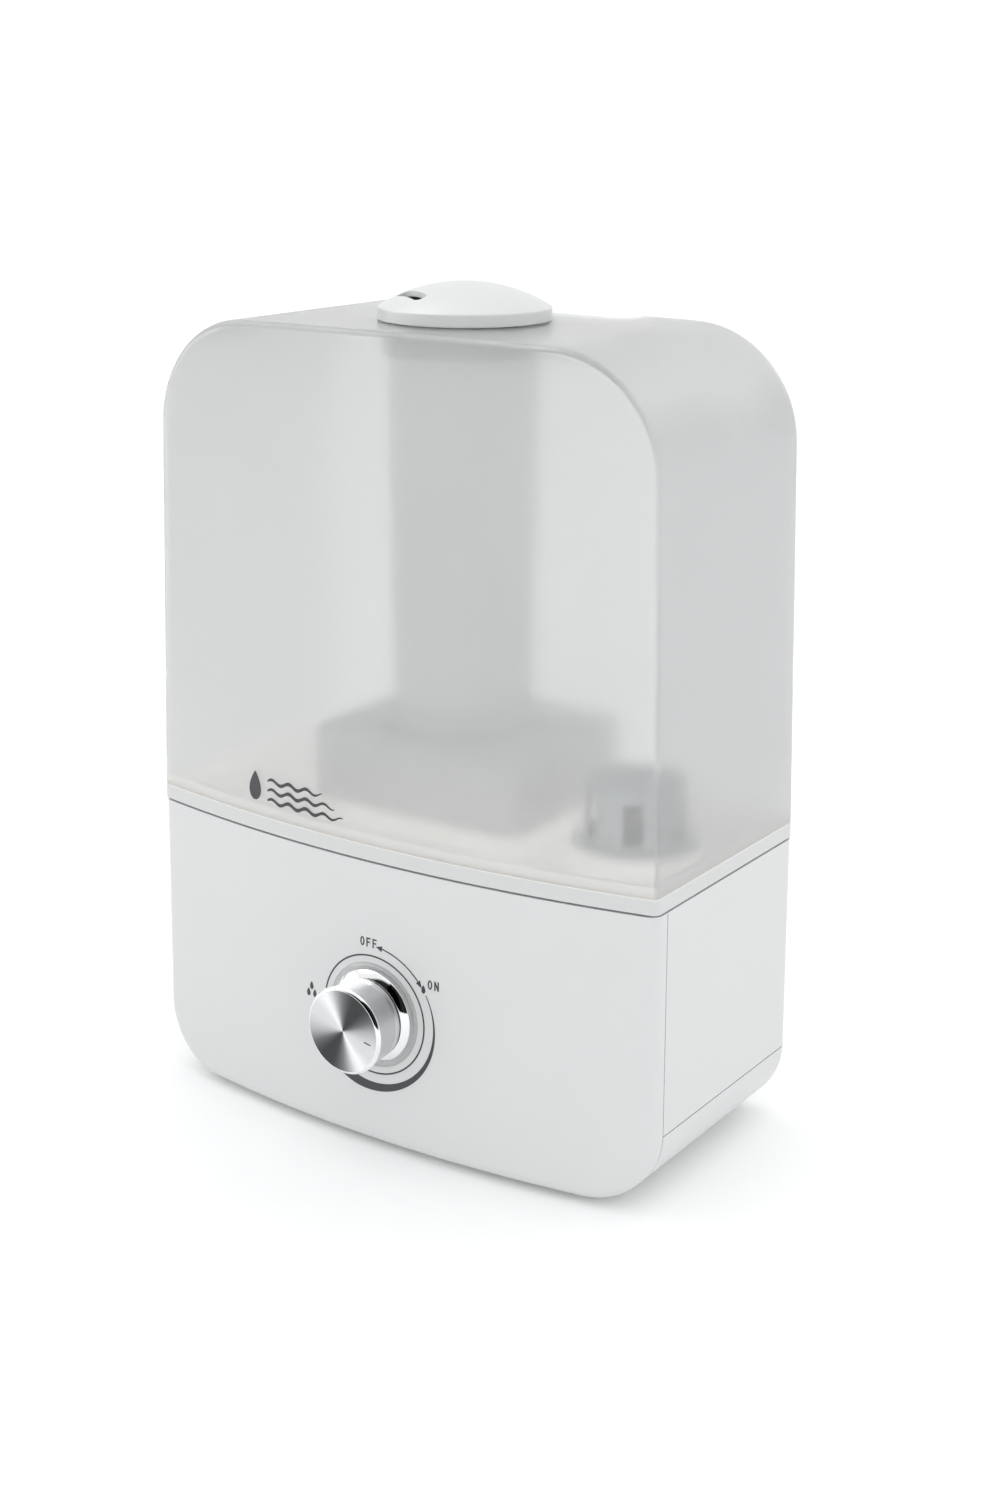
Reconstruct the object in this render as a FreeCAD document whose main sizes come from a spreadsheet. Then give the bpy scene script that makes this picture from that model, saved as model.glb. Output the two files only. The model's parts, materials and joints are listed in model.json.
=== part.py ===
import FreeCAD, Part

import math
import os

import Sketcher
from FreeCAD import Placement, Rotation, Vector

# A cool mist humidifier: a translucent water tank that lifts off a white base. The base holds a
# water basin with an ultrasonic transducer, a fan and the electronics, and carries the output dial.
#
# Frame, in millimetres: +Z up, the bowed front towards -Y, +X to the right as seen from the front.
# The origin is the bottom centre of the whole object, knob included, on the surface it stands on.

# Every size that can be set by itself: alias, value, what it is.
DIMENSIONS = [
    ("width", 220, "overall width of the base"),
    ("side_depth", 101, "depth of the flat sides"),
    ("front_bulge", 12, "how far the bowed front stands out at its middle"),
    ("foot_height", 2, "gap under the base"),
    ("base_height", 107.5, "height of the base, from its underside to the split"),
    ("bottom_radius", 26.5, "rounding of the lower side edges"),
    ("rear_radius", 6, "rounding of the rear upright edges"),
    ("front_radius", 5, "rounding round the edge of the front panel"),
    ("base_wall", 2.8, "wall of the base mouldings"),
    ("panel_depth", 7, "how far the front panel reaches back along the sides"),
    ("cover_height", 26.2, "height of the bottom cover along the sides"),
    ("seam", 0.45, "open joint between two base mouldings"),
    ("lip_depth", 4, "how far a lip reaches behind the neighbouring moulding"),
    ("lip_wall", 1.2, "wall of those lips"),
    ("tank_height", 187.5, "height of the tank, from the split to its shoulders"),
    ("tank_taper", 3.3, "how much each tank side leans in over that height"),
    ("tank_top_bulge", 5, "bulge of the tank's front at its top"),
    ("tank_crown", 1.2, "rise of the tank's top at its middle"),
    ("top_radius", 42, "rounding of the tank's upper side edges"),
    ("tank_front_radius", 3, "rounding of the tank's front edge"),
    ("tank_rear_radius", 5, "rounding of the tank's rear edge"),
    ("tank_wall", 2.2, "wall of the tank"),
    ("groove", 0.8, "shadow gap between tank and base"),
    ("band_height", 5.5, "height of the white band round the tank's foot"),
    ("floor_wall", 2.4, "thickness of the tank's floor"),
    ("weld_lip", 3.5, "height of the lip inside the tank's lower edge"),
    ("handle_width", 88, "width of the hand recess in the tank's rear top edge"),
    ("handle_reach", 16, "how far the hand recess reaches forward"),
    ("handle_drop", 15, "depth of the hand recess"),
    ("handle_radius", 9, "rounding of the hand recess in plan"),
    ("chamber_left", 44, "mist chamber, reach to the left of the middle"),
    ("chamber_right", 46, "mist chamber, reach to the right of the middle"),
    ("chamber_front_inset", 8.5, "mist chamber, distance in from the sides' front edge"),
    ("chamber_back_inset", 16.5, "mist chamber, distance in from the rear face"),
    ("chamber_rise", 33, "height of the mist chamber above the tank's floor"),
    ("chamber_dip", 14, "how far the chamber's skirt reaches below the tank's floor"),
    ("chamber_wall", 2.2, "wall of the mist chamber"),
    ("chamber_radius", 6, "rounding of the mist chamber's corners"),
    ("duct_forward", 6, "how far the mist duct stands forward of the side's middle"),
    ("duct_low_radius", 25.5, "mist duct, outside radius at its foot"),
    ("sleeve_room", 2.1, "gap between the nozzle's sleeve and the head of the mist duct"),
    ("duct_wall", 1.6, "wall of the mist duct"),
    ("duct_collar", 8, "depth of the two collars that hold the duct"),
    ("fit", 0.2, "gap round parts that are pushed or welded together"),
    ("running_fit", 0.08, "radial gap of parts that turn or slide on each other"),
    ("neck_side_inset", 30, "fill neck, distance of its axis in from the right side"),
    ("neck_front_inset", 34.5, "fill neck, distance of its axis in from the sides' front edge"),
    ("neck_wall", 4, "wall of the fill neck round the cap's plug"),
    ("neck_rise", 6, "fill neck, height above the tank's floor"),
    ("neck_drop", 3, "fill neck, height below the tank's floor"),
    ("cap_radius", 18.5, "fill cap, outside radius of its plug"),
    ("cap_wall", 2, "wall of the fill cap"),
    ("cap_flange", 3.2, "thickness of the fill cap's grip flange"),
    ("cap_tower", 22, "height of the valve tower above the neck"),
    ("cap_travel", 1.7, "how far the fill cap moves down in one turn"),
    ("gasket_height", 1.8, "thickness of the fill cap's gasket"),
    ("valve_hole", 8, "radius of the hole that the valve closes"),
    ("valve_seal_radius", 10.5, "radius of the valve's rubber seal"),
    ("valve_seal_height", 1.8, "thickness of the valve's rubber seal"),
    ("stem_radius", 2.4, "radius of the valve's stem"),
    ("stem_above", 22, "height of the stem above the seal"),
    ("stem_below", 3.5, "how far the stem reaches below the seal"),
    ("valve_gap", 1.2, "gap between stem and post beyond the cap's travel"),
    ("guide_depth", 9, "length of the stem's guide"),
    ("spring_radius", 4.3, "mean radius of the valve spring"),
    ("spring_wire", 0.7, "wire diameter of the valve spring"),
    ("spring_turns", 5, "turns of the valve spring"),
    ("nozzle_radius", 31.4, "radius of the mist nozzle"),
    ("nozzle_rim", 4.3, "height of the nozzle's rim"),
    ("nozzle_rise", 9, "rise of the nozzle's dome above its rim"),
    ("nozzle_gap", 0.6, "gap under the nozzle's rim"),
    ("nozzle_wall", 1.9, "wall of the nozzle"),
    ("sleeve_radius", 23.5, "outside radius of the nozzle's sleeve"),
    ("sleeve_wall", 1.6, "wall of the nozzle's sleeve"),
    ("sleeve_depth", 13, "how far the sleeve reaches into the tank"),
    ("slot_reach", 21, "distance of the mist slots from the nozzle's axis"),
    ("slot_length", 18, "length of a mist slot"),
    ("slot_width", 4.6, "width of a mist slot"),
    ("basin_side_inset", 13, "basin bowl, distance in from each side"),
    ("basin_front_inset", 5.5, "basin bowl, distance in from the sides' front edge"),
    ("basin_back_inset", 8.5, "basin bowl, distance in from the rear face"),
    ("basin_depth", 18, "depth of the basin bowl below the flange's top"),
    ("basin_drop", 6, "how far the basin's flange lies below the split"),
    ("basin_wall", 2.2, "wall of the basin"),
    ("basin_gap", 0.3, "gap between basin and base walls"),
    ("seat_wall", 3, "wall of the rim that the tank stands on"),
    ("well_across", -20, "transducer well, distance to the right of the middle"),
    ("well_forward", 4, "transducer well, distance forward of the side's middle"),
    ("well_radius", 19, "inside radius of the transducer well"),
    ("well_depth", 8, "depth of the well below the bowl"),
    ("disc_radius", 10, "radius of the transducer disc"),
    ("disc_height", 1.3, "thickness of the transducer disc"),
    ("disc_window", 8.5, "radius of the opening over the disc"),
    ("seal_radius", 13, "radius of the transducer's seal"),
    ("seal_height", 3.4, "thickness of the transducer's seal"),
    ("clamp_size", 40, "side of the transducer's clamp plate"),
    ("clamp_height", 2, "thickness of the transducer's clamp plate"),
    ("chimney_across", 24, "air chimney, distance of its centre to the right of the middle"),
    ("chimney_width", 26, "air chimney, inside width"),
    ("chimney_depth", 34, "air chimney, inside depth"),
    ("chimney_rise", 4, "height of the air chimney above the basin's flange"),
    ("chimney_flange", 3, "width of the flange that the air chimney stands on"),
    ("fan_across", 34, "fan, distance to the right of the middle"),
    ("fan_size", 60, "side of the fan's frame"),
    ("fan_height", 15, "thickness of the fan's frame"),
    ("fan_low", 38, "height of the fan's frame above the underside of the base"),
    ("fan_bore", 28, "radius of the fan's bore"),
    ("fan_hub", 12, "radius of the fan's hub"),
    ("fan_motor_radius", 9, "radius of the fan's motor"),
    ("fan_blade", 1.2, "thickness of a fan blade"),
    ("fan_blades", 7, "number of fan blades"),
    ("float_inset", 40, "level float, distance of its axis in from the left side"),
    ("float_back", 14, "level float, distance back from the side's middle"),
    ("float_radius", 9, "radius of the level float"),
    ("float_height", 7, "height of the level float"),
    ("float_travel", 6, "how far the level float rises"),
    ("post_radius", 2.5, "radius of the basin's upright posts"),
    ("dial_height", 50.2, "height of the dial's centre above the underside of the base"),
    ("dial_recess", 19.7, "radius of the dished recess round the dial"),
    ("dial_recess_depth", 1, "depth of that recess"),
    ("trim_radius", 17.3, "outside radius of the chrome ring behind the knob"),
    ("trim_bore", 13.4, "inside radius of that ring"),
    ("trim_reach", 3.2, "how far the ring stands out of the panel"),
    ("knob_radius", 16.2, "radius of the knob at its face"),
    ("knob_reach", 17.8, "how far the knob's face stands out of the panel"),
    ("knob_bevel", 0.9, "bevel round the knob's face"),
    ("knob_gap", 0.5, "gap between the knob and the chrome ring"),
    ("knob_skin", 1, "wall of the knob's metal shell"),
    ("shaft_radius", 3, "radius of the dial's shaft"),
    ("shaft_length", 13, "how far the shaft reaches out of the panel"),
    ("pot_size", 17, "side of the potentiometer's housing"),
    ("pot_height", 9, "depth of the potentiometer's housing"),
    ("board_height", 1.6, "thickness of the circuit boards"),
    ("power_inset", 16, "power board, distance in from the left side"),
    ("power_width", 86, "width of the power board"),
    ("power_end_inset", 25.5, "power board, distance in from the rear and from the sides' front edge"),
    ("power_rise", 6, "power board, height above the floor of the base"),
    ("transformer_width", 30, "width of the transformer's core"),
    ("transformer_depth", 28, "depth of the transformer's core"),
    ("transformer_height", 24, "height of the transformer's core"),
    ("coil_overhang", 4, "how far the transformer's coil stands out before and behind its core"),
    ("coil_margin", 5, "how far the coil stays inside the core at its sides"),
    ("driver_width", 62, "width of the transducer's driver board"),
    ("driver_depth", 40, "depth of the driver board"),
    ("driver_reach", 18, "driver board, reach to the right of the transducer well's middle"),
    ("sink_height", 12, "height of the driver's heat sink"),
    ("sink_gap", 5, "gap between the heat sink and the transducer's clamp"),
    ("sink_fins", 6, "number of the heat sink's fins"),
    ("sink_pitch", 5.6, "distance from one fin to the next"),
    ("sink_fin", 2, "thickness of a fin"),
    ("foot_radius", 7, "radius of a rubber foot"),
    ("foot_sink", 0.8, "how far a foot sits in the bottom cover"),
    ("foot_side_inset", 44, "feet, distance in from each side"),
    ("foot_end_inset", 16.5, "feet, distance in from the rear face and from the sides' front edge"),
    ("screw_side_inset", 31, "case screws, distance in from each side"),
    ("screw_end_inset", 16.5, "case screws, distance in from the rear face and the sides' front edge"),
    ("screw_radius", 1.6, "radius of a case screw's shank"),
    ("screw_head", 3, "radius of a case screw's head"),
    ("screw_length", 14, "length of a case screw's shank"),
    ("boss_radius", 4, "radius of the screw bosses"),
    ("intake_size", 42, "side of the air intake's grille"),
    ("intake_bar", 2.2, "width of a bar of the grille"),
    ("intake_slots", 7, "number of slots in the grille"),
    ("gland_inset", 38, "cord gland, distance of its axis in from the left side"),
    ("gland_height", 15, "cord gland, height above the underside of the base"),
    ("gland_radius", 5.4, "outside radius of the cord gland"),
    ("gland_bore", 3.3, "radius of the cord gland's hole"),
    ("gland_length", 12, "length of the cord gland"),
]

doc = FreeCAD.newDocument("humidifier")
sheet = doc.addObject("Spreadsheet::Sheet", "Dims")
for row, (alias, value, meaning) in enumerate(DIMENSIONS, start=1):
    sheet.set(f"A{row}", meaning)
    sheet.set(f"B{row}", str(value))
    sheet.setAlias(f"B{row}", alias)
doc.recompute()

# Places that follow from those sizes, as expressions over the sheet.
HALF_WIDTH = "(Dims.width / 2)"
CENTRE_Y = "((Dims.front_bulge + Dims.knob_reach) / 2)"
SIDE_FRONT_Y = f"({CENTRE_Y} - Dims.side_depth / 2)"
BACK_Y = f"({CENTRE_Y} + Dims.side_depth / 2)"
BOW_TIP_Y = f"({SIDE_FRONT_Y} - Dims.front_bulge)"
BOW_RADIUS = f"(({HALF_WIDTH} ^ 2 + Dims.front_bulge ^ 2) / (2 * Dims.front_bulge))"
PANEL_Y = f"({SIDE_FRONT_Y} + Dims.panel_depth)"
UNDERSIDE_Z = "Dims.foot_height"
COVER_Z = "(Dims.foot_height + Dims.cover_height)"
SPLIT_Z = "(Dims.foot_height + Dims.base_height)"

BAND_LOW_Z = f"({SPLIT_Z} + Dims.groove)"
TANK_FLOOR_Z = f"({BAND_LOW_Z} + Dims.band_height)"
TANK_UNDER_Z = f"({TANK_FLOOR_Z} - Dims.floor_wall)"
SHOULDER_Z = f"({SPLIT_Z} + Dims.tank_height)"
ROOF_Z = f"({SHOULDER_Z} + Dims.tank_crown)"
TANK_TOP_HALF = f"({HALF_WIDTH} - Dims.tank_taper)"
TOP_BOW_RADIUS = f"(({TANK_TOP_HALF} ^ 2 + Dims.tank_top_bulge ^ 2) / (2 * Dims.tank_top_bulge))"
DUCT_Y = f"({CENTRE_Y} - Dims.duct_forward)"
DUCT_HIGH_RADIUS = "(Dims.sleeve_radius + Dims.sleeve_room + Dims.duct_wall)"
CHAMBER_FRONT_Y = f"({SIDE_FRONT_Y} + Dims.chamber_front_inset)"
CHAMBER_BACK_Y = f"({BACK_Y} - Dims.chamber_back_inset)"
CHAMBER_TOP_Z = f"({TANK_FLOOR_Z} + Dims.chamber_rise)"

NECK_X = f"({HALF_WIDTH} - Dims.neck_side_inset)"
NECK_Y = f"({SIDE_FRONT_Y} + Dims.neck_front_inset)"
NECK_RADIUS = "(Dims.cap_radius + Dims.neck_wall)"
NECK_TOP_Z = f"({TANK_FLOOR_Z} + Dims.neck_rise)"
NECK_LOW_Z = f"({TANK_UNDER_Z} - Dims.neck_drop)"
GASKET_LOW_Z = f"({NECK_LOW_Z} - Dims.gasket_height)"
CAP_LOW_Z = f"({GASKET_LOW_Z} - Dims.cap_flange)"
SEAT_Z = f"({CAP_LOW_Z} + Dims.cap_wall)"
TOWER_TOP_Z = f"({NECK_TOP_Z} + Dims.cap_tower)"
SEAL_TOP_Z = f"({SEAT_Z} + Dims.valve_seal_height)"
STEM_LOW_Z = f"({SEAT_Z} - Dims.stem_below)"
GUIDE_LOW_Z = f"({TOWER_TOP_Z} - Dims.cap_wall - Dims.guide_depth)"

NOZZLE_LOW_Z = f"({ROOF_Z} + Dims.nozzle_gap)"
NOZZLE_RIM_Z = f"({NOZZLE_LOW_Z} + Dims.nozzle_rim)"
NOZZLE_TOP_Z = f"({NOZZLE_RIM_Z} + Dims.nozzle_rise)"
DOME_RADIUS = "((Dims.nozzle_radius ^ 2 + Dims.nozzle_rise ^ 2) / (2 * Dims.nozzle_rise))"

BASIN_X = f"({HALF_WIDTH} - Dims.basin_side_inset)"
BASIN_FRONT_Y = f"({SIDE_FRONT_Y} + Dims.basin_front_inset)"
BASIN_BACK_Y = f"({BACK_Y} - Dims.basin_back_inset)"
FLANGE_TOP_Z = f"({SPLIT_Z} - Dims.basin_drop)"
FLANGE_LOW_Z = f"({FLANGE_TOP_Z} - Dims.basin_wall)"
BOWL_FLOOR_Z = f"({FLANGE_TOP_Z} - Dims.basin_depth)"
BOWL_UNDER_Z = f"({BOWL_FLOOR_Z} - Dims.basin_wall)"
WELL_Y = f"({CENTRE_Y} - Dims.well_forward)"
WELL_FLOOR_Z = f"({BOWL_FLOOR_Z} - Dims.well_depth)"
WELL_UNDER_Z = f"({WELL_FLOOR_Z} - Dims.basin_wall)"
CLAMP_TOP_Z = f"({WELL_UNDER_Z} - Dims.seal_height)"
CLAMP_LOW_Z = f"({CLAMP_TOP_Z} - Dims.clamp_height)"
FAN_LOW_Z = f"({UNDERSIDE_Z} + Dims.fan_low)"
FAN_TOP_Z = f"({FAN_LOW_Z} + Dims.fan_height)"
INSIDE_FLOOR_Z = f"({UNDERSIDE_Z} + Dims.base_wall)"
FOOT_ACROSS = f"({HALF_WIDTH} - Dims.foot_side_inset)"
FOOT_ALONG = "(Dims.side_depth / 2 - Dims.foot_end_inset)"
SCREW_ACROSS = f"({HALF_WIDTH} - Dims.screw_side_inset)"
SCREW_ALONG = "(Dims.side_depth / 2 - Dims.screw_end_inset)"
GLAND_X = f"(Dims.gland_inset - {HALF_WIDTH})"
GLAND_Z = f"({UNDERSIDE_Z} + Dims.gland_height)"
FLOAT_X = f"(Dims.float_inset - {HALF_WIDTH})"
FLOAT_Y = f"({CENTRE_Y} + Dims.float_back)"
FLOAT_LOW_Z = f"({BOWL_FLOOR_Z} + 1)"

DIAL_Z = f"({UNDERSIDE_Z} + Dims.dial_height)"
RECESS_Y = f"({BOW_TIP_Y} + Dims.dial_recess_depth)"
PANEL_INSIDE_Y = f"({BOW_TIP_Y} + Dims.base_wall)"
BEHIND_RING = "(Dims.trim_reach + Dims.knob_gap)"


def number(expression):
    """The present value of an expression over the sheet."""
    value = sheet.evalExpression(expression)
    return float(getattr(value, "Value", value))


def around(centre, size):
    """The span of a size about a centre."""
    return f"({centre}) - ({size}) / 2", f"({centre}) + ({size}) / 2"


# ---------------------------------------------------------------- building blocks

SPRING_STEPS = 12  # points of the spring's path in each turn

DIRECTIONS = {
    "up": Rotation(),
    "back": Rotation(Vector(1, 0, 0), -90),
    "front": Rotation(Vector(1, 0, 0), 90),
    "right": Rotation(Vector(0, 1, 0), 90),
}


def put(thing, start, direction="up"):
    """Stands an object at a point given as three expressions."""
    thing.Placement = Placement(Vector(), DIRECTIONS[direction])
    for axis, place in zip("xyz", start):
        thing.setExpression(f"Placement.Base.{axis}", place)
    return thing


def box(name, x_span, y_span, z_span):
    solid = doc.addObject("Part::Box", name)
    sizes = ("Length", "Width", "Height")
    spans = (x_span, y_span, z_span)
    for size, (low, high) in zip(sizes, spans):
        solid.setExpression(size, f"({high}) - ({low})")
    return put(solid, [low for low, high in spans])


def rod(name, radius, start, length, direction="up"):
    solid = doc.addObject("Part::Cylinder", name)
    solid.setExpression("Radius", radius)
    solid.setExpression("Height", length)
    return put(solid, start, direction)


def taper(name, low_radius, high_radius, start, length):
    solid = doc.addObject("Part::Cone", name)
    solid.setExpression("Radius1", low_radius)
    solid.setExpression("Radius2", high_radius)
    solid.setExpression("Height", length)
    return put(solid, start)


def ball(name, radius, centre):
    solid = doc.addObject("Part::Sphere", name)
    solid.setExpression("Radius", radius)
    return put(solid, centre)


def join(name, *solids):
    result = doc.addObject("Part::MultiFuse", name)
    result.Shapes = list(solids)
    result.Refine = True
    return result


def overlap(name, *solids):
    result = doc.addObject("Part::MultiCommon", name)
    result.Shapes = list(solids)
    return result


def carve(name, solid, *tools):
    result = doc.addObject("Part::Cut", name)
    result.Base = solid
    result.Tool = tools[0] if len(tools) == 1 else join(f"{name}_tools", *tools)
    result.Refine = True
    return result


def group(name, solids):
    """Separate solids that share one node."""
    result = doc.addObject("Part::Compound", name)
    result.Links = list(solids)
    return result


def copies_round(name, solid, angles, place):
    """Copies of a solid, each turned by an angle about the upright axis through a place."""
    copies = []
    for index, angle in enumerate(angles):
        turned_copy = group(f"{name}_turned_{index}", [solid])
        turned_copy.Placement = Placement(Vector(), Rotation(Vector(0, 0, 1), angle))
        copies.append(put(group(f"{name}_{index}", [turned_copy]), (*place, "0")))
    return copies


def tube(name, outer, inner, start, length, direction="up"):
    outside = rod(f"{name}_outside", outer, start, length, direction)
    inside = rod(f"{name}_inside", inner, start, length, direction)
    return carve(name, outside, inside)


def origin_plane(body, role):
    return next(plane for plane in body.Origin.OriginFeatures if plane.Role == role)


def fix_point(sketch, edge, end, place):
    """Dimensions one end of a sketch edge from the sketch's origin."""
    for kind, axis, distance in (("DistanceX", -2, place[0]), ("DistanceY", -1, place[1])):
        value = number(distance)
        if abs(value) < 1e-9:
            sketch.addConstraint(Sketcher.Constraint("PointOnObject", edge, end, axis))
        elif value > 0:
            index = sketch.addConstraint(Sketcher.Constraint(kind, -1, 1, edge, end, value))
            sketch.setExpression(f"Constraints[{index}]", distance)
        else:
            index = sketch.addConstraint(Sketcher.Constraint(kind, edge, end, -1, 1, -value))
            sketch.setExpression(f"Constraints[{index}]", f"-({distance})")


def outline(body, name, plane, points, height="0", bows=None):
    """A closed sketch through points given as expressions, anticlockwise. bows maps an edge's number
    to the radius of the outward arc that replaces it."""
    bows = bows or {}
    sketch = body.newObject("Sketcher::SketchObject", name)
    sketch.AttachmentSupport = [(origin_plane(body, plane), "")]
    sketch.MapMode = "FlatFace"
    sketch.setExpression("AttachmentOffset.Base.z", height)
    corners = [Vector(number(u), number(v), 0) for u, v in points]
    count = len(corners)
    for edge, corner in enumerate(corners):
        following = corners[(edge + 1) % count]
        if edge in bows:
            across = (following - corner) * 0.5
            outward = Vector(across.y, -across.x, 0).normalize()
            radius = number(bows[edge])
            rise = radius - (radius ** 2 - across.Length ** 2) ** 0.5
            sketch.addGeometry(Part.Arc(corner, corner + across + outward * rise, following), False)
        else:
            sketch.addGeometry(Part.LineSegment(corner, following), False)
    for edge in range(count):
        before = (edge - 1) % count
        sketch.addConstraint(Sketcher.Constraint("Coincident", before, 2, edge, 1))
    for edge, radius in bows.items():
        index = sketch.addConstraint(Sketcher.Constraint("Radius", edge, number(radius)))
        sketch.setExpression(f"Constraints[{index}]", radius)
    for edge, place in enumerate(points):
        fix_point(sketch, edge, 1, place)
    return sketch


def turned(name, points, start, direction="up"):
    """A solid of revolution: points are (radius, height) pairs above the start point."""
    body = doc.addObject("PartDesign::Body", name)
    sketch = outline(body, f"{name}_profile", "XZ_Plane", points)
    turn = body.newObject("PartDesign::Revolution", f"{name}_turn")
    turn.Profile = sketch
    turn.ReferenceAxis = (sketch, ["V_Axis"])
    turn.Angle = 360
    body.Tip = turn
    return put(body, start, direction)


def body_of(name, solid):
    """A PartDesign body round a solid, so that its edges can be dressed."""
    body = doc.addObject("PartDesign::Body", name)
    body.BaseFeature = solid
    body.Placement = solid.Placement
    for path, expression in solid.ExpressionEngine:
        if path.startswith(("Placement", ".Placement")):
            body.setExpression(path, expression)
    doc.recompute()
    return body


def round_edges(body, radius, chosen):
    """Fillets the edges of a body's present tip for which chosen(edge) is true."""
    doc.recompute()
    tip = body.Tip
    names = [f"Edge{i}" for i, edge in enumerate(body.Shape.Edges, start=1) if chosen(edge)]
    fillet = body.newObject("PartDesign::Fillet", f"{body.Name}_round")
    fillet.Base = (tip, names)
    fillet.setExpression("Radius", radius)
    body.Tip = fillet
    doc.recompute()
    return body


def middle_of(edge):
    return edge.valueAt((edge.FirstParameter + edge.LastParameter) / 2)


def near(a, b, within=0.01):
    return abs(a - b) < within


def runs_along(edge, axis):
    """True for a straight edge along the named axis."""
    box_of_edge = edge.BoundBox
    lengths = {"x": box_of_edge.XLength, "y": box_of_edge.YLength, "z": box_of_edge.ZLength}
    return all((length > 0.01) == (key == axis) for key, length in lengths.items())


def rounded_box(name, x_span, y_span, z_span, radius, axis="z"):
    """A box whose edges along one axis are rounded."""
    body = body_of(name, box(f"{name}_block", x_span, y_span, z_span))
    return round_edges(body, radius, lambda edge: runs_along(edge, axis))


def level_at(edge, height):
    return near(edge.BoundBox.ZMin, height) and near(edge.BoundBox.ZMax, height)


def front_chain(shape, cut_height):
    """Picks the edges round a front face, leaving out the one at the given height."""
    face = min(shape.Faces, key=lambda candidate: candidate.CenterOfMass.y)

    def chosen(edge):
        return not level_at(edge, cut_height) and any(edge.isSame(side) for side in face.Edges)

    return chosen


def back_chain(back, cut_heights):
    """Picks the edges round a flat back, leaving out those at the given heights."""

    def chosen(edge):
        on_back = near(edge.BoundBox.YMin, back) and near(edge.BoundBox.YMax, back)
        return on_back and not any(level_at(edge, height) for height in cut_heights)

    return chosen


# ---------------------------------------------------------------- outer forms

def base_form(name, inset, low, high, rounded_below=True):
    """The base's outline, inset by a wall, between two heights: flat sides and back, bowed front."""
    side = f"({HALF_WIDTH} - ({inset}))"
    block = box(
        f"{name}_block",
        (f"-{side}", side),
        (f"{BOW_TIP_Y} - 1", f"{BACK_Y} - ({inset})"),
        (low, high),
    )
    body = body_of(f"{name}_sides", block)
    floor = number(low)
    if rounded_below:
        round_edges(
            body,
            f"Dims.bottom_radius - ({inset})",
            lambda edge: runs_along(edge, "y") and near(middle_of(edge).z, floor),
        )
    flat_heights = [number(high)] if rounded_below else [number(high), floor]
    round_edges(
        body,
        f"max(Dims.rear_radius - ({inset}); 0.6)",
        back_chain(number(f"{BACK_Y} - ({inset})"), flat_heights),
    )
    bow = rod(
        f"{name}_bow",
        f"{BOW_RADIUS} - ({inset})",
        ("0", f"{BOW_TIP_Y} + {BOW_RADIUS}", f"({low}) - 1"),
        f"({high}) - ({low}) + 2",
    )
    return overlap(name, body, bow)


def half_width_at(height):
    """Half the tank's width at a height: its sides lean in."""
    return f"({HALF_WIDTH} - (({height}) - {SPLIT_Z}) / Dims.tank_height * Dims.tank_taper)"


def tank_form(name, inset, low):
    """The tank's outline, inset by a wall, from a height up to its rounded top."""
    profile = doc.addObject("PartDesign::Body", f"{name}_profile")
    top_half = f"({half_width_at(SHOULDER_Z)} - ({inset}))"
    low_half = f"({half_width_at(low)} - ({inset}))"
    crown_radius = f"(({top_half} ^ 2 + Dims.tank_crown ^ 2) / (2 * Dims.tank_crown))"
    top = f"({SHOULDER_Z} - ({inset}))"
    corners = [(f"-{low_half}", low), (low_half, low), (top_half, top), (f"-{top_half}", top)]
    sketch = outline(profile, f"{name}_front_view", "XZ_Plane", corners, bows={2: crown_radius})
    pad = profile.newObject("PartDesign::Pad", f"{name}_depth")
    pad.Profile = sketch
    pad.setExpression("Length", "Dims.side_depth + Dims.front_bulge + 2")
    profile.Tip = pad
    put(profile, ("0", f"{BACK_Y} - ({inset})", "0"))
    doc.recompute()
    shoulder = number(top)
    round_edges(
        profile,
        f"Dims.top_radius - ({inset})",
        lambda edge: runs_along(edge, "y") and near(middle_of(edge).z, shoulder),
    )

    front = doc.addObject("PartDesign::Body", f"{name}_bow")
    spare = 6
    sections = []
    levels = (
        (SPLIT_Z, HALF_WIDTH, "Dims.front_bulge", BOW_RADIUS),
        (ROOF_Z, TANK_TOP_HALF, "Dims.tank_top_bulge", TOP_BOW_RADIUS),
    )
    for count, (height, half, bulge, radius) in enumerate(levels):
        reach = f"({half} + {spare})"
        arc_radius = f"({radius} - ({inset}))"
        corner_y = (
            f"({SIDE_FRONT_Y} - {bulge} + {radius} - sqrt({arc_radius} ^ 2 - {reach} ^ 2))"
        )
        back = f"({BACK_Y} + 1)"
        corners = [(f"-{reach}", corner_y), (reach, corner_y), (reach, back), (f"-{reach}", back)]
        sections.append(
            outline(front, f"{name}_plan_{count}", "XY_Plane", corners, height, {0: arc_radius})
        )
    loft = front.newObject("PartDesign::AdditiveLoft", f"{name}_loft")
    loft.Profile = sections[0]
    loft.Sections = sections[1:]
    loft.Ruled = True
    front.Tip = loft
    doc.recompute()
    return overlap(name, profile, front)


# ---------------------------------------------------------------- the base mouldings

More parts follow.
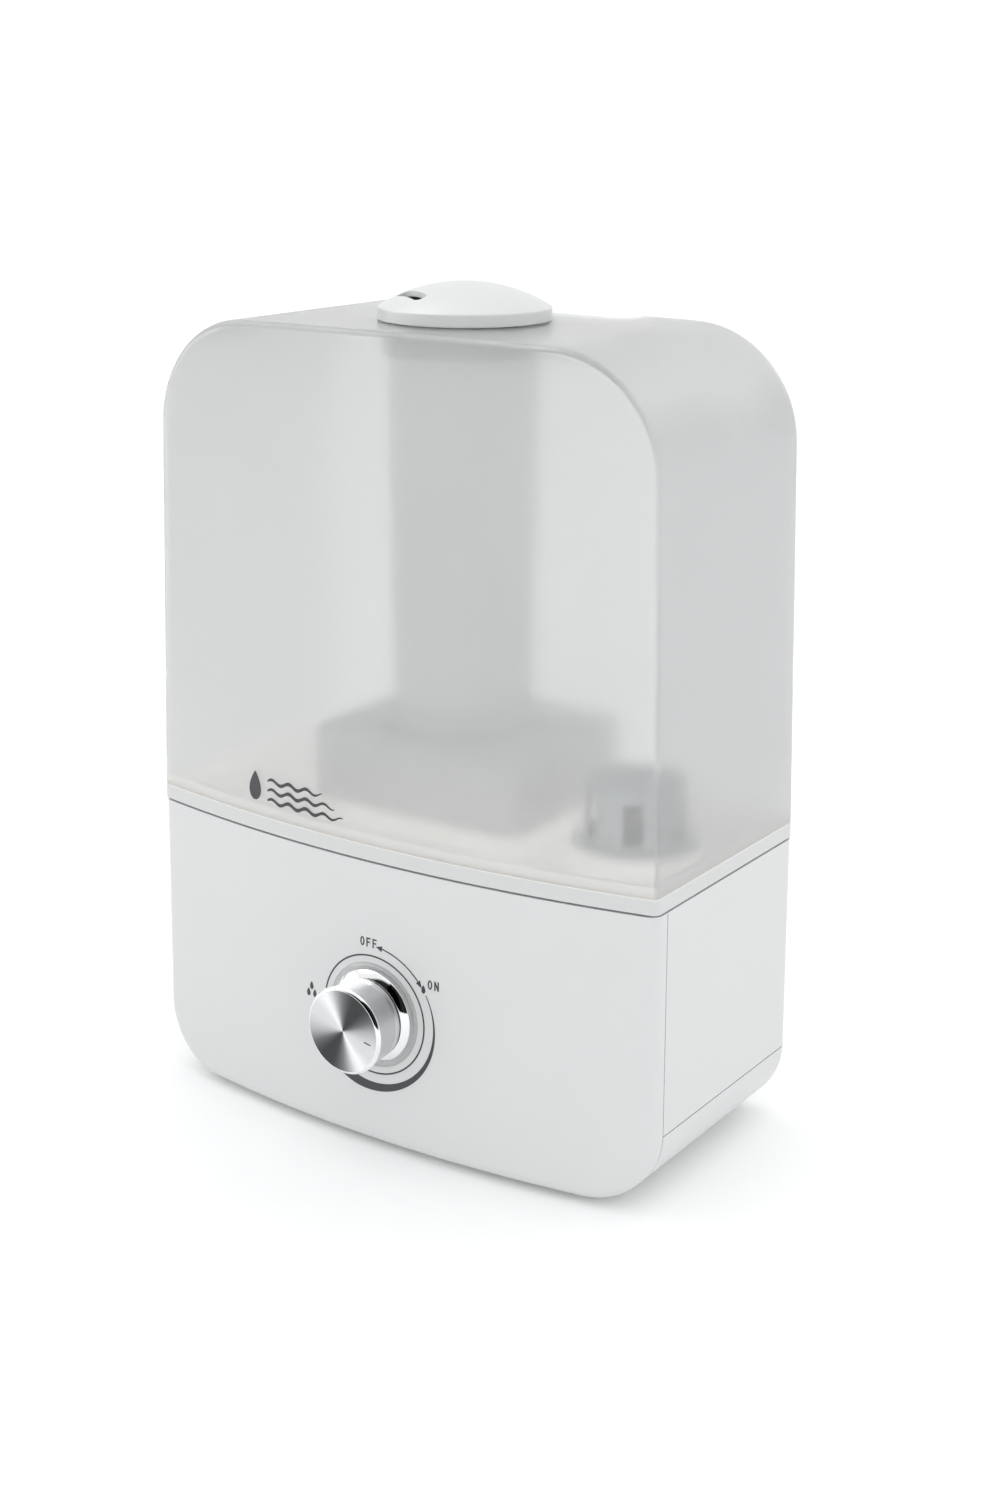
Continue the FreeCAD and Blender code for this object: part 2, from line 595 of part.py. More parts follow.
def base_mouldings():
    """Front panel, rear housing and bottom cover: one hollow form, parted along two seams."""
    solid_form = base_form("base_form", "0", UNDERSIDE_Z, SPLIT_Z)
    outside = body_of("base_outside", solid_form)
    top = number(SPLIT_Z)
    round_edges(outside, "Dims.front_radius", front_chain(outside.Shape, top))
    hollow = base_form("base_hollow", "Dims.base_wall", INSIDE_FLOOR_Z, f"{SPLIT_Z} + 5")
    shell = carve("base_shell", outside, hollow)
    lip_core = base_form(
        "lip_core",
        "Dims.base_wall + Dims.lip_wall",
        f"{INSIDE_FLOOR_Z} + Dims.lip_wall",
        f"{SPLIT_Z} + 6",
    )
    lining = carve("base_lining", hollow, lip_core)

    wide = (f"-{HALF_WIDTH} - 5", f"{HALF_WIDTH} + 5")
    half_seam = "Dims.seam / 2"
    ahead = (f"{BOW_TIP_Y} - 5", f"{PANEL_Y} - {half_seam}")
    behind = (f"{PANEL_Y} + {half_seam}", f"{BACK_Y} + 5")
    above = (f"{COVER_Z} + {half_seam}", f"{SPLIT_Z} + 1")
    below = ("-1", f"{COVER_Z} - {half_seam}")
    across_seam = (f"{PANEL_Y} - Dims.lip_depth", f"{PANEL_Y} + Dims.lip_depth")

    panel = overlap("panel_shell", shell, box("panel_zone", wide, ahead, ("-1", f"{SPLIT_Z} + 1")))
    recess = rod(
        "dial_recess_cut",
        "Dims.dial_recess",
        ("0", RECESS_Y, DIAL_Z),
        "Dims.dial_recess_depth + 5",
        "front",
    )
    shaft_hole = rod(
        "dial_hole",
        "Dims.shaft_radius + 1",
        ("0", f"{PANEL_INSIDE_Y} + 2", DIAL_Z),
        "Dims.base_wall + 6",
        "front",
    )
    carve("front_panel", panel, recess, shaft_hole)

    housing = overlap("housing_shell", shell, box("housing_zone", wide, behind, above))
    lip_top = f"{FLANGE_LOW_Z} - 1"
    upright_lip = overlap(
        "housing_lip",
        lining,
        box("housing_lip_zone", wide, across_seam, (above[0], lip_top)),
    )
    join("rear_housing", housing, upright_lip)

    cover = overlap("cover_shell", shell, box("cover_zone", wide, behind, below))
    low_lip = overlap(
        "cover_front_lip",
        lining,
        box("cover_front_lip_zone", wide, across_seam, ("-1", below[1])),
    )
    side_lip = overlap(
        "cover_side_lip",
        lining,
        box(
            "cover_side_lip_zone",
            wide,
            (f"{across_seam[1]} + Dims.fit", behind[1]),
            (f"{COVER_Z} - Dims.lip_depth", f"{COVER_Z} + Dims.lip_depth"),
        ),
    )
    intake_hole = box(
        "intake_hole",
        around("Dims.fan_across", "Dims.intake_size + 2 * Dims.fit"),
        around(CENTRE_Y, "Dims.intake_size + 2 * Dims.fit"),
        ("-1", f"{INSIDE_FLOOR_Z} + 1"),
    )
    ledge_span = "Dims.intake_size - 4"
    ledge = carve(
        "intake_ledge",
        box(
            "intake_ledge_block",
            around("Dims.fan_across", "Dims.intake_size + 4"),
            around(CENTRE_Y, "Dims.intake_size + 4"),
            (INSIDE_FLOOR_Z, f"{INSIDE_FLOOR_Z} + Dims.base_wall"),
        ),
        box(
            "intake_ledge_hole",
            around("Dims.fan_across", ledge_span),
            around(CENTRE_Y, ledge_span),
            ("-1", f"{INSIDE_FLOOR_Z} + 20"),
        ),
    )
    fan_posts = [
        rod(
            f"fan_post_{count}",
            "Dims.boss_radius - 1",
            (place[0], place[1], f"{INSIDE_FLOOR_Z} - 1"),
            "Dims.fan_low - Dims.base_wall + 1",
        )
        for count, place in enumerate(fan_corners())
    ]
    foot_sockets = [
        rod(
            f"foot_socket_{count}",
            "Dims.foot_radius",
            (x, y, "-1"),
            "Dims.foot_height + Dims.foot_sink + 1",
        )
        for count, (x, y) in enumerate(four_places(FOOT_ACROSS, FOOT_ALONG))
    ]
    screw_holes = []
    for count, (x, y) in enumerate(four_places(SCREW_ACROSS, SCREW_ALONG)):
        screw_holes.append(
            rod(
                f"cover_screw_hole_{count}",
                "Dims.screw_radius + Dims.fit",
                (x, y, "-1"),
                "Dims.base_wall + 5",
            )
        )
        screw_holes.append(
            rod(
                f"cover_screw_sink_{count}",
                "Dims.screw_head + 0.4",
                (x, y, "-1"),
                "Dims.foot_height + 3.2",
            )
        )
    gland_hole = rod(
        "gland_hole",
        "Dims.gland_radius",
        (GLAND_X, f"{BACK_Y} - Dims.base_wall - 3", GLAND_Z),
        "Dims.base_wall + 6",
        "back",
    )
    holed = carve(
        "cover_holed",
        join("cover_walls", cover, low_lip, side_lip),
        intake_hole,
        gland_hole,
        *foot_sockets,
        *screw_holes,
    )
    join("bottom_cover", holed, ledge, *fan_posts)


def four_places(across, along):
    """Four points set out evenly about the middle of the base."""
    return [
        (f"{side} * ({across})", f"{CENTRE_Y} + {way} * ({along})")
        for side in (-1, 1)
        for way in (-1, 1)
    ]


def fan_corners():
    reach = "(Dims.fan_size / 2 - 4)"
    return [
        (f"Dims.fan_across + {side} * {reach}", f"{CENTRE_Y} + {way} * {reach}")
        for side in (-1, 1)
        for way in (-1, 1)
    ]


def feet_and_screws():
    feet = [
        rod(f"foot_{count}", "Dims.foot_radius", (x, y, "0"), "Dims.foot_height + Dims.foot_sink")
        for count, (x, y) in enumerate(four_places(FOOT_ACROSS, FOOT_ALONG))
    ]
    group("rubber_feet", feet)
    screws = []
    head_low = f"{UNDERSIDE_Z} + 0.4"
    head_high = f"{UNDERSIDE_Z} + 2.2"
    for count, (x, y) in enumerate(four_places(SCREW_ACROSS, SCREW_ALONG)):
        head = rod(f"case_screw_head_{count}", "Dims.screw_head", (x, y, head_low), "1.8")
        shank = rod(
            f"case_screw_shank_{count}",
            "Dims.screw_radius",
            (x, y, head_high),
            "Dims.screw_length",
        )
        recess = (f"{head_low} - 1", f"{head_low} + 1")
        drive = box(f"case_screw_drive_{count}", around(x, "0.9"), around(y, "3.4"), recess)
        cross = box(f"case_screw_cross_{count}", around(x, "3.4"), around(y, "0.9"), recess)
        blank = join(f"case_screw_blank_{count}", head, shank)
        screws.append(carve(f"case_screw_{count}", blank, drive, cross))
    group("case_screws", screws)


def intake():
    """The clip-in grille under the fan and the foam behind it."""
    spans = (around("Dims.fan_across", "Dims.intake_size"), around(CENTRE_Y, "Dims.intake_size"))
    plate = box("intake_plate", *spans, (UNDERSIDE_Z, INSIDE_FLOOR_Z))
    count = int(number("Dims.intake_slots"))
    pitch = "((Dims.intake_size - 8) / Dims.intake_slots)"
    slots = []
    for index in range(count):
        centre = f"{CENTRE_Y} + ({index} - ({count} - 1) / 2) * {pitch}"
        slots.append(
            box(
                f"intake_slot_{index}",
                around("Dims.fan_across", "Dims.intake_size - 8"),
                around(centre, f"{pitch} - Dims.intake_bar"),
                (f"{UNDERSIDE_Z} - 1", f"{INSIDE_FLOOR_Z} + 1"),
            )
        )
    carve("intake_grille", plate, *slots)
    foam_span = "Dims.intake_size - 4 - 2 * Dims.fit"
    box(
        "intake_filter",
        around("Dims.fan_across", foam_span),
        around(CENTRE_Y, foam_span),
        (INSIDE_FLOOR_Z, f"{INSIDE_FLOOR_Z} + 5"),
    )


# ---------------------------------------------------------------- the basin

def water_basin():
    inset = "Dims.base_wall + Dims.basin_gap"
    flange = base_form("basin_flange", inset, FLANGE_LOW_Z, FLANGE_TOP_Z, rounded_below=False)
    rim_outside = base_form(
        "basin_rim_outside", f"{inset} + 0.3", FLANGE_LOW_Z, f"{TANK_UNDER_Z} - 0.1", rounded_below=False
    )
    rim_inside = base_form(
        "basin_rim_inside",
        f"{inset} + 0.3 + Dims.seat_wall",
        f"{FLANGE_LOW_Z} - 1",
        f"{TANK_UNDER_Z} + 1",
        rounded_below=False,
    )
    rim = carve("basin_rim", rim_outside, rim_inside)
    wall = "Dims.basin_wall"
    bowl_outside = rounded_box(
        "basin_bowl_outside",
        (f"-{BASIN_X} - {wall}", f"{BASIN_X} + {wall}"),
        (f"{BASIN_FRONT_Y} - {wall}", f"{BASIN_BACK_Y} + {wall}"),
        (BOWL_UNDER_Z, FLANGE_TOP_Z),
        "10",
    )
    bowl_inside = rounded_box(
        "basin_bowl_inside",
        (f"-{BASIN_X}", BASIN_X),
        (BASIN_FRONT_Y, BASIN_BACK_Y),
        (BOWL_FLOOR_Z, f"{FLANGE_TOP_Z} + 20"),
        "8",
    )
    well = ("Dims.well_across", WELL_Y)
    well_outside = rod(
        "basin_well_outside",
        f"Dims.well_radius + {wall}",
        (*well, WELL_UNDER_Z),
        f"Dims.well_depth + {wall}",
    )
    well_inside = rod("basin_well_inside", "Dims.well_radius", (*well, WELL_FLOOR_Z), "Dims.well_depth + 5")
    window = rod("basin_window", "Dims.disc_window", (*well, f"{WELL_UNDER_Z} - 1"), f"{wall} + 2")
    chimney_hole = rounded_box(
        "chimney_hole",
        around("Dims.chimney_across", f"Dims.chimney_width + 2 * ({wall} + Dims.fit)"),
        around(CENTRE_Y, f"Dims.chimney_depth + 2 * ({wall} + Dims.fit)"),
        (f"{BOWL_UNDER_Z} - 1", f"{BOWL_FLOOR_Z} + 1"),
        "4",
    )
    float_post = rod(
        "float_post",
        "Dims.post_radius",
        (FLOAT_X, FLOAT_Y, BOWL_UNDER_Z),
        f"{wall} + 2 + Dims.float_height + Dims.float_travel + 2",
    )
    valve_post_top = f"({STEM_LOW_Z} - Dims.cap_travel - Dims.valve_gap)"
    valve_post = rod(
        "valve_post",
        "Dims.post_radius",
        (NECK_X, NECK_Y, BOWL_UNDER_Z),
        f"{valve_post_top} - {BOWL_UNDER_Z}",
    )
    fins = [
        box(
            f"valve_post_fin_{index}",
            around(NECK_X, size[0]),
            around(NECK_Y, size[1]),
            (BOWL_UNDER_Z, f"{BOWL_FLOOR_Z} + 5"),
        )
        for index, size in enumerate((("14", "1.6"), ("1.6", "14")))
    ]
    bosses = []
    pilots = []
    boss_low = f"{INSIDE_FLOOR_Z} + Dims.fit"
    for count, (x, y) in enumerate(four_places(SCREW_ACROSS, SCREW_ALONG)):
        bosses.append(
            rod(
                f"basin_boss_{count}",
                "Dims.boss_radius",
                (x, y, boss_low),
                f"{BOWL_FLOOR_Z} - ({boss_low})",
            )
        )
        pilots.append(
            rod(
                f"basin_pilot_{count}",
                "Dims.screw_radius",
                (x, y, f"{boss_low} - 1"),
                "Dims.screw_length + 3",
            )
        )
    clamp_bosses = [
        tube(
            f"clamp_boss_{index}",
            "3",
            "1.2",
            (f"Dims.well_across + {side} * (Dims.clamp_size / 2 - 3.2)", WELL_Y, CLAMP_TOP_Z),
            "Dims.seal_height",
        )
        for index, side in enumerate((-1, 1))
    ]
    hollow = carve(
        "basin_hollow",
        join("basin_block", flange, rim, bowl_outside, well_outside),
        bowl_inside,
        well_inside,
        window,
        chimney_hole,
    )
    posted = join("basin_posted", hollow, float_post, valve_post, *fins, *bosses, *clamp_bosses)
    carve("water_basin", posted, *pilots)


def air_chimney():
    """The tube bonded into the basin's floor that brings the fan's air up into the mist chamber."""
    top = f"{FLANGE_TOP_Z} + Dims.chimney_rise"
    wall = "Dims.basin_wall"
    outside = rounded_box(
        "chimney_outside",
        around("Dims.chimney_across", f"Dims.chimney_width + 2 * {wall}"),
        around(CENTRE_Y, f"Dims.chimney_depth + 2 * {wall}"),
        (BOWL_UNDER_Z, top),
        "4",
    )
    foot = rounded_box(
        "chimney_foot",
        around("Dims.chimney_across", f"Dims.chimney_width + 2 * ({wall} + Dims.chimney_flange)"),
        around(CENTRE_Y, f"Dims.chimney_depth + 2 * ({wall} + Dims.chimney_flange)"),
        (BOWL_FLOOR_Z, f"{BOWL_FLOOR_Z} + 1.8"),
        "6",
    )
    bore = rounded_box(
        "chimney_bore",
        around("Dims.chimney_across", "Dims.chimney_width"),
        around(CENTRE_Y, "Dims.chimney_depth"),
        (f"{BOWL_UNDER_Z} - 1", f"{top} + 1"),
        "2",
    )
    carve("air_chimney", join("chimney_block", outside, foot), bore)


def transducer():
    place = ("Dims.well_across", WELL_Y)
    disc_low = f"{WELL_UNDER_Z} - (Dims.seal_height + Dims.disc_height) / 2"
    rod("transducer_disc", "Dims.disc_radius", (*place, disc_low), "Dims.disc_height")
    ring = tube(
        "seal_ring", "Dims.seal_radius", "Dims.disc_radius - 1.5", (*place, CLAMP_TOP_Z), "Dims.seal_height"
    )
    seat = rod("seal_seat", "Dims.disc_radius", (*place, disc_low), "Dims.disc_height")
    carve("transducer_seal", ring, seat)
    plate = rounded_box(
        "clamp_plate",
        around(place[0], "Dims.clamp_size"),
        around(place[1], "2 * Dims.seal_radius"),
        (CLAMP_LOW_Z, CLAMP_TOP_Z),
        "3",
    )
    carve("transducer_clamp", plate, rod("clamp_window", "6", (*place, f"{CLAMP_LOW_Z} - 1"), "10"))


def level_float():
    start = (FLOAT_X, FLOAT_Y, FLOAT_LOW_Z)
    bore = "(Dims.post_radius + Dims.running_fit)"
    magnet_high = "3.2"
    magnet_low = "1.6"
    turned(
        "level_float",
        [
            (bore, "0"),
            ("Dims.float_radius - 1", "0"),
            ("Dims.float_radius", "1"),
            ("Dims.float_radius", "Dims.float_height - 1"),
            ("Dims.float_radius - 1", "Dims.float_height"),
            (bore, "Dims.float_height"),
            (bore, magnet_high),
            ("Dims.post_radius + 3", magnet_high),
            ("Dims.post_radius + 3", magnet_low),
            (bore, magnet_low),
        ],
        start,
    )
    tube(
        "float_magnet",
        "Dims.post_radius + 2.95",
        "Dims.post_radius + 0.4",
        (start[0], start[1], f"{FLOAT_LOW_Z} + {magnet_low} + 0.05"),
        "1.5",
    )
    clip_low = f"{FLOAT_LOW_Z} + Dims.float_height + Dims.float_travel + 0.3"
    tube("float_clip", "Dims.post_radius + 2.5", "Dims.post_radius", (start[0], start[1], clip_low), "1.2")
    rod(
        "level_switch",
        "1.4",
        (f"{start[0]} - 8", start[1], f"{BOWL_UNDER_Z} - 1.5"),
        "16",
        "right",
    )


# ---------------------------------------------------------------- air

def fan():
    centre = ("Dims.fan_across", CENTRE_Y)
    frame = rounded_box(
        "fan_block",
        around(centre[0], "Dims.fan_size"),
        around(centre[1], "Dims.fan_size"),
        (FAN_LOW_Z, FAN_TOP_Z),
        "5",
    )
    bore = rod("fan_bore_cut", "Dims.fan_bore", (*centre, f"{FAN_LOW_Z} - 1"), "Dims.fan_height + 2")
    arm_length = "2 * Dims.fan_bore + 2"
    arm_z = (FAN_LOW_Z, f"{FAN_LOW_Z} + 2")
    spider = [
        box("fan_arm_x", around(centre[0], arm_length), around(centre[1], "3"), arm_z),
        box("fan_arm_y", around(centre[0], "3"), around(centre[1], arm_length), arm_z),
        rod("fan_seat", "Dims.fan_motor_radius", (*centre, FAN_LOW_Z), "2"),
    ]
    join("fan_frame", carve("fan_ring", frame, bore), *spider)
    tube(
        "fan_motor",
        "Dims.fan_motor_radius",
        "1.5 + Dims.running_fit",
        (*centre, f"{FAN_LOW_Z} + 2"),
        "7",
    )
    fan_rotor(centre)


def fan_rotor(centre):
    """Hub with its shaft, and blades set round it at an angle."""
    rotor = doc.addObject("PartDesign::Body", "fan_rotor")
    hub_low = "3"
    hub_high = "(Dims.fan_height - 1.5)"
    inside = "(Dims.fan_motor_radius + 0.8)"
    points = [
        ("0", hub_low),
        ("1.5", hub_low),
        ("1.5", f"{hub_high} - 1.5"),
        (inside, f"{hub_high} - 1.5"),
        (inside, hub_low),
        ("Dims.fan_hub", hub_low),
        ("Dims.fan_hub", hub_high),
        ("0", hub_high),
    ]
    profile = outline(rotor, "fan_hub_profile", "XZ_Plane", points)
    hub = rotor.newObject("PartDesign::Revolution", "fan_hub_turn")
    hub.Profile = profile
    hub.ReferenceAxis = (profile, ["V_Axis"])
    hub.Angle = 360
    lean = "4"
    blade_points = [
        (f"-{lean}", f"{hub_low} + 0.6"),
        (f"-{lean} + Dims.fan_blade * 1.6", f"{hub_low} + 0.6"),
        (lean, f"{hub_high} - 0.6"),
        (f"{lean} - Dims.fan_blade * 1.6", f"{hub_high} - 0.6"),
    ]
    section = outline(rotor, "fan_blade_section", "YZ_Plane", blade_points, "Dims.fan_hub - 1.2")
    blade = rotor.newObject("PartDesign::Pad", "fan_blade_pad")
    blade.Profile = section
    blade.setExpression("Length", "Dims.fan_bore - 1.2 - (Dims.fan_hub - 1.2)")
    doc.recompute()
    blades = rotor.newObject("PartDesign::PolarPattern", "fan_blade_pattern")
    blades.Originals = [blade]
    blades.Axis = (profile, ["V_Axis"])
    blades.Angle = 360
    blades.setExpression("Occurrences", "Dims.fan_blades")
    rotor.Tip = blades
    put(rotor, (*centre, FAN_LOW_Z))


def air_duct():
    """Leads the fan's air up to the foot of the basin's chimney."""
    wall = "1.6"
    plate_top = f"{FAN_TOP_Z} + 2"
    plate = box(
        "air_duct_plate",
        around("Dims.fan_across", "Dims.fan_size"),
        around(CENTRE_Y, "Dims.fan_size"),
        (FAN_TOP_Z, plate_top),
    )
    top = f"{BOWL_UNDER_Z} - Dims.fit"
    outside = box(
        "air_duct_outside",
        around("Dims.chimney_across", f"Dims.chimney_width + 2 * {wall}"),
        around(CENTRE_Y, f"Dims.chimney_depth + 2 * {wall}"),
        (FAN_TOP_Z, top),
    )
    inside = box(
        "air_duct_inside",
        around("Dims.chimney_across", "Dims.chimney_width"),
        around(CENTRE_Y, "Dims.chimney_depth"),
        (f"{FAN_TOP_Z} - 1", f"{top} + 1"),
    )
    carve("air_duct", join("air_duct_block", plate, outside), inside)


# ---------------------------------------------------------------- electronics and dial

def power_board():
    """The mains board with its transformer, on the left of the base's floor."""
    left = f"(Dims.power_inset - {HALF_WIDTH})"
    half_depth = "(Dims.side_depth / 2 - Dims.power_end_inset)"
    low = f"{INSIDE_FLOOR_Z} + Dims.power_rise"
    top = f"{low} + Dims.board_height"
    plate = box(
        "power_board_plate",
        (left, f"{left} + Dims.power_width"),
        around(CENTRE_Y, f"2 * {half_depth}"),
        (low, top),
    )
    right = f"{left} + Dims.power_width - 16"
    parts = [
        rod("power_capacitor", "8", (right, f"{CENTRE_Y} - 12", top), "22"),
        rod("power_capacitor_small", "4", (right, f"{CENTRE_Y} + 4", top), "12"),
        box(
            "power_choke",
            (f"{left} + 4", f"{left} + 18"),
            (f"{CENTRE_Y} - 20", f"{CENTRE_Y} - 8"),
            (top, f"{top} + 14"),
        ),
        box(
            "power_socket",
            (f"{left} + 4", f"{left} + 16"),
            (f"{CENTRE_Y} + 10", f"{CENTRE_Y} + 20"),
            (top, f"{top} + 8"),
        ),
    ]
    join("power_board", plate, *parts)

    middle = (f"{left} + 26 + Dims.transformer_width / 2", f"{CENTRE_Y} - 2")
    core = box(
        "transformer_core",
        around(middle[0], "Dims.transformer_width"),
        around(middle[1], "Dims.transformer_depth"),
        (top, f"{top} + Dims.transformer_height"),
    )
    coil = box(
        "transformer_coil",
        around(middle[0], "(Dims.transformer_width - 2 * Dims.coil_margin)"),
        around(middle[1], "(Dims.transformer_depth + 2 * Dims.coil_overhang)"),
        (f"{top} + 4", f"{top} + Dims.transformer_height - 4"),
    )
    join("power_transformer", core, coil)


def driver_board():
    """The board that drives the transducer, hung under the basin, with its heat sink."""
    right = "Dims.well_across + Dims.driver_reach"
    left = f"{right} - Dims.driver_width"
    sink_top = f"{CLAMP_LOW_Z} - Dims.sink_gap"
    top = f"{sink_top} - Dims.sink_height"
    plate = box(
        "driver_plate",
        (left, right),
        around(WELL_Y, "Dims.driver_depth"),
        (f"{top} - Dims.board_height", top),
    )
    parts = [
        box("driver_coil", (f"{right} - 12", f"{right} - 4"), around(WELL_Y, "10"), (top, f"{top} + 8")),
        rod("driver_capacitor", "4", (f"{right} - 8", f"{WELL_Y} - 13", top), "9"),
    ]
    join("driver_board", plate, *parts)

    sink_left = f"{left} + 4"
    sink_depth = around(WELL_Y, "24")
    sink_base = box(
        "sink_base",
        (sink_left, f"{sink_left} + (Dims.sink_fins - 1) * Dims.sink_pitch + Dims.sink_fin"),
        sink_depth,
        (top, f"{top} + 2.5"),
    )
    fins = []
    for index in range(int(number("Dims.sink_fins"))):
        fin_left = f"{sink_left} + {index} * Dims.sink_pitch"
        fins.append(
            box(f"sink_fin_{index}", (fin_left, f"{fin_left} + Dims.sink_fin"), sink_depth, (top, sink_top))
        )
    join("driver_heatsink", sink_base, *fins)


def cord_gland():
    gland_y = f"{BACK_Y} - Dims.gland_length"
    barrel = tube(
        "gland_barrel",
        "Dims.gland_radius",
        "Dims.gland_bore",
        (GLAND_X, gland_y, GLAND_Z),
        "Dims.gland_length",
        "back",
    )
    collar = tube(
        "gland_collar",
        "Dims.gland_radius + 1.8",
        "Dims.gland_bore",
        (GLAND_X, gland_y, GLAND_Z),
        "3",
        "back",
    )
    join("cord_gland", barrel, collar)


def dial():
    """Potentiometer, its board and shaft, and the knob with the chrome ring behind it."""
    rear = f"{PANEL_INSIDE_Y} + 0.5 + Dims.pot_height"
    half = "(Dims.pot_size / 2)"
    housing = rounded_box(
        "pot_block",
        (f"-{half}", half),
        (f"{PANEL_INSIDE_Y} + 0.5", rear),
        around(DIAL_Z, "Dims.pot_size"),
        "2",
        "y",
    )
    shaft_start = ("0", rear, DIAL_Z)
    bore = rod(
        "pot_bore",
        "Dims.shaft_radius + Dims.running_fit",
        ("0", f"{rear} - 2", DIAL_Z),
        "Dims.pot_height + 5",
        "front",
    )
    carve("dial_potentiometer", housing, bore)
    rod(
        "dial_shaft",
        "Dims.shaft_radius",
        ("0", f"{rear} - 2.2", DIAL_Z),
        f"({rear} - 2.2) - ({BOW_TIP_Y}) + Dims.shaft_length",
        "front",
    )
    box(
        "control_board",
        around("0", "44"),
        (shaft_start[1], f"{rear} + Dims.board_height"),
        around(DIAL_Z, "34"),
    )

    recess_start = ("0", RECESS_Y, DIAL_Z)
    thickness = "(Dims.trim_reach + Dims.dial_recess_depth)"
    turned(
        "dial_trim_ring",
        [
            ("Dims.trim_bore", "0"),
            ("Dims.trim_radius", "0"),
            ("Dims.trim_radius", f"{thickness} - 1.6"),
            ("Dims.trim_radius - 0.5", f"{thickness} - 0.5"),
            ("Dims.trim_radius - 1.3", thickness),
            ("Dims.trim_bore + 0.8", thickness),
            ("Dims.trim_bore", f"{thickness} - 0.8"),
        ],
        recess_start,
        "front",
    )

    face = f"(Dims.knob_reach - {BEHIND_RING})"
    cavity = "(Dims.knob_radius - 1.3 - Dims.knob_skin)"
    knob_start = ("0", f"{BOW_TIP_Y} - {BEHIND_RING}", DIAL_Z)
    turned(
        "knob_shell",
        [
            (cavity, "0"),
            ("Dims.knob_radius - 1.6", "0"),
            ("Dims.knob_radius - 1.3", "0.3"),
            ("Dims.knob_radius - 1.3", "1.6"),
            ("Dims.knob_radius - 1.7", "2"),
            ("Dims.knob_radius - 1.7", "2.6"),
            ("Dims.knob_radius - 1.1", "3.2"),
            ("Dims.knob_radius - 0.6", f"{face} - 3"),
            ("Dims.knob_radius", f"{face} - 1.6"),
            ("Dims.knob_radius", f"{face} - Dims.knob_bevel"),
            ("Dims.knob_radius - Dims.knob_bevel", face),
            ("0", face),
            ("0", f"{face} - Dims.knob_skin"),
            (cavity, f"{face} - Dims.knob_skin"),
        ],
        knob_start,
        "front",
    )
    core_outside = rod(
        "core_outside",
        f"{cavity} - 0.05",
        knob_start,
        f"{face} - Dims.knob_skin - 0.1",
        "front",
    )
    core_bore = rod(
        "core_bore",
        "Dims.shaft_radius + 0.05",
        ("0", f"{BOW_TIP_Y} + 1", DIAL_Z),
        "1 + Dims.shaft_length + 0.3",
        "front",
    )
    lighten = tube(
        "core_ring",
        f"{cavity} - 2",
        "Dims.shaft_radius + 3",
        ("0", f"{BOW_TIP_Y} - {BEHIND_RING} + 1", DIAL_Z),
        f"{face} - 4",
        "front",
    )
    carve("knob_core", core_outside, core_bore, lighten)


# ---------------------------------------------------------------- the tank

def chamber_span(axis, extra):
    """The mist chamber's reach along X or Y, grown by extra."""
    if axis == "x":
        return f"-Dims.chamber_left - ({extra})", f"Dims.chamber_right + ({extra})"
    return f"{CHAMBER_FRONT_Y} - ({extra})", f"{CHAMBER_BACK_Y} + ({extra})"


def tank_shell():
    form = tank_form("tank_form", "0", TANK_FLOOR_Z)
    outside = body_of("tank_outside", form)
    floor = number(TANK_FLOOR_Z)
    round_edges(outside, "Dims.tank_front_radius", front_chain(outside.Shape, floor))
    round_edges(outside, "Dims.tank_rear_radius", back_chain(number(BACK_Y), [floor]))
    inside = tank_form("tank_inside", "Dims.tank_wall", f"{TANK_FLOOR_Z} - 1")

    handle_x = ("-Dims.handle_width / 2", "Dims.handle_width / 2")
    handle_y = (f"{BACK_Y} - Dims.handle_reach", f"{BACK_Y} + 10")
    handle_z = (f"{ROOF_Z} - Dims.handle_drop", f"{ROOF_Z} + 10")
    pocket = rounded_box("handle_pocket", handle_x, handle_y, handle_z, "Dims.handle_radius")
    wall = "Dims.tank_wall"
    liner_block = rounded_box(
        "handle_liner_block",
        (f"{handle_x[0]} - {wall}", f"{handle_x[1]} + {wall}"),
        (f"{handle_y[0]} - {wall}", handle_y[1]),
        (f"{handle_z[0]} - {wall}", handle_z[1]),
        f"Dims.handle_radius + {wall}",
    )
    liner = overlap("handle_liner", liner_block, inside)
    collar_top = f"{ROOF_Z} - 1"
    collar = tube(
        "roof_collar",
        f"{DUCT_HIGH_RADIUS} + Dims.fit + 1.8",
        f"{DUCT_HIGH_RADIUS} + Dims.fit",
        ("0", DUCT_Y, f"{SHOULDER_Z} - {wall} - Dims.duct_collar"),
        f"{collar_top} - ({SHOULDER_Z} - {wall} - Dims.duct_collar)",
    )
    outlet = rod(
        "roof_outlet",
        "Dims.sleeve_radius + Dims.running_fit",
        ("0", DUCT_Y, f"{SHOULDER_Z} - 20"),
        "40",
    )
    walls = carve("tank_walls", outside, inside)
    carve("tank_shell", join("tank_joined", walls, liner, collar), pocket, outlet)


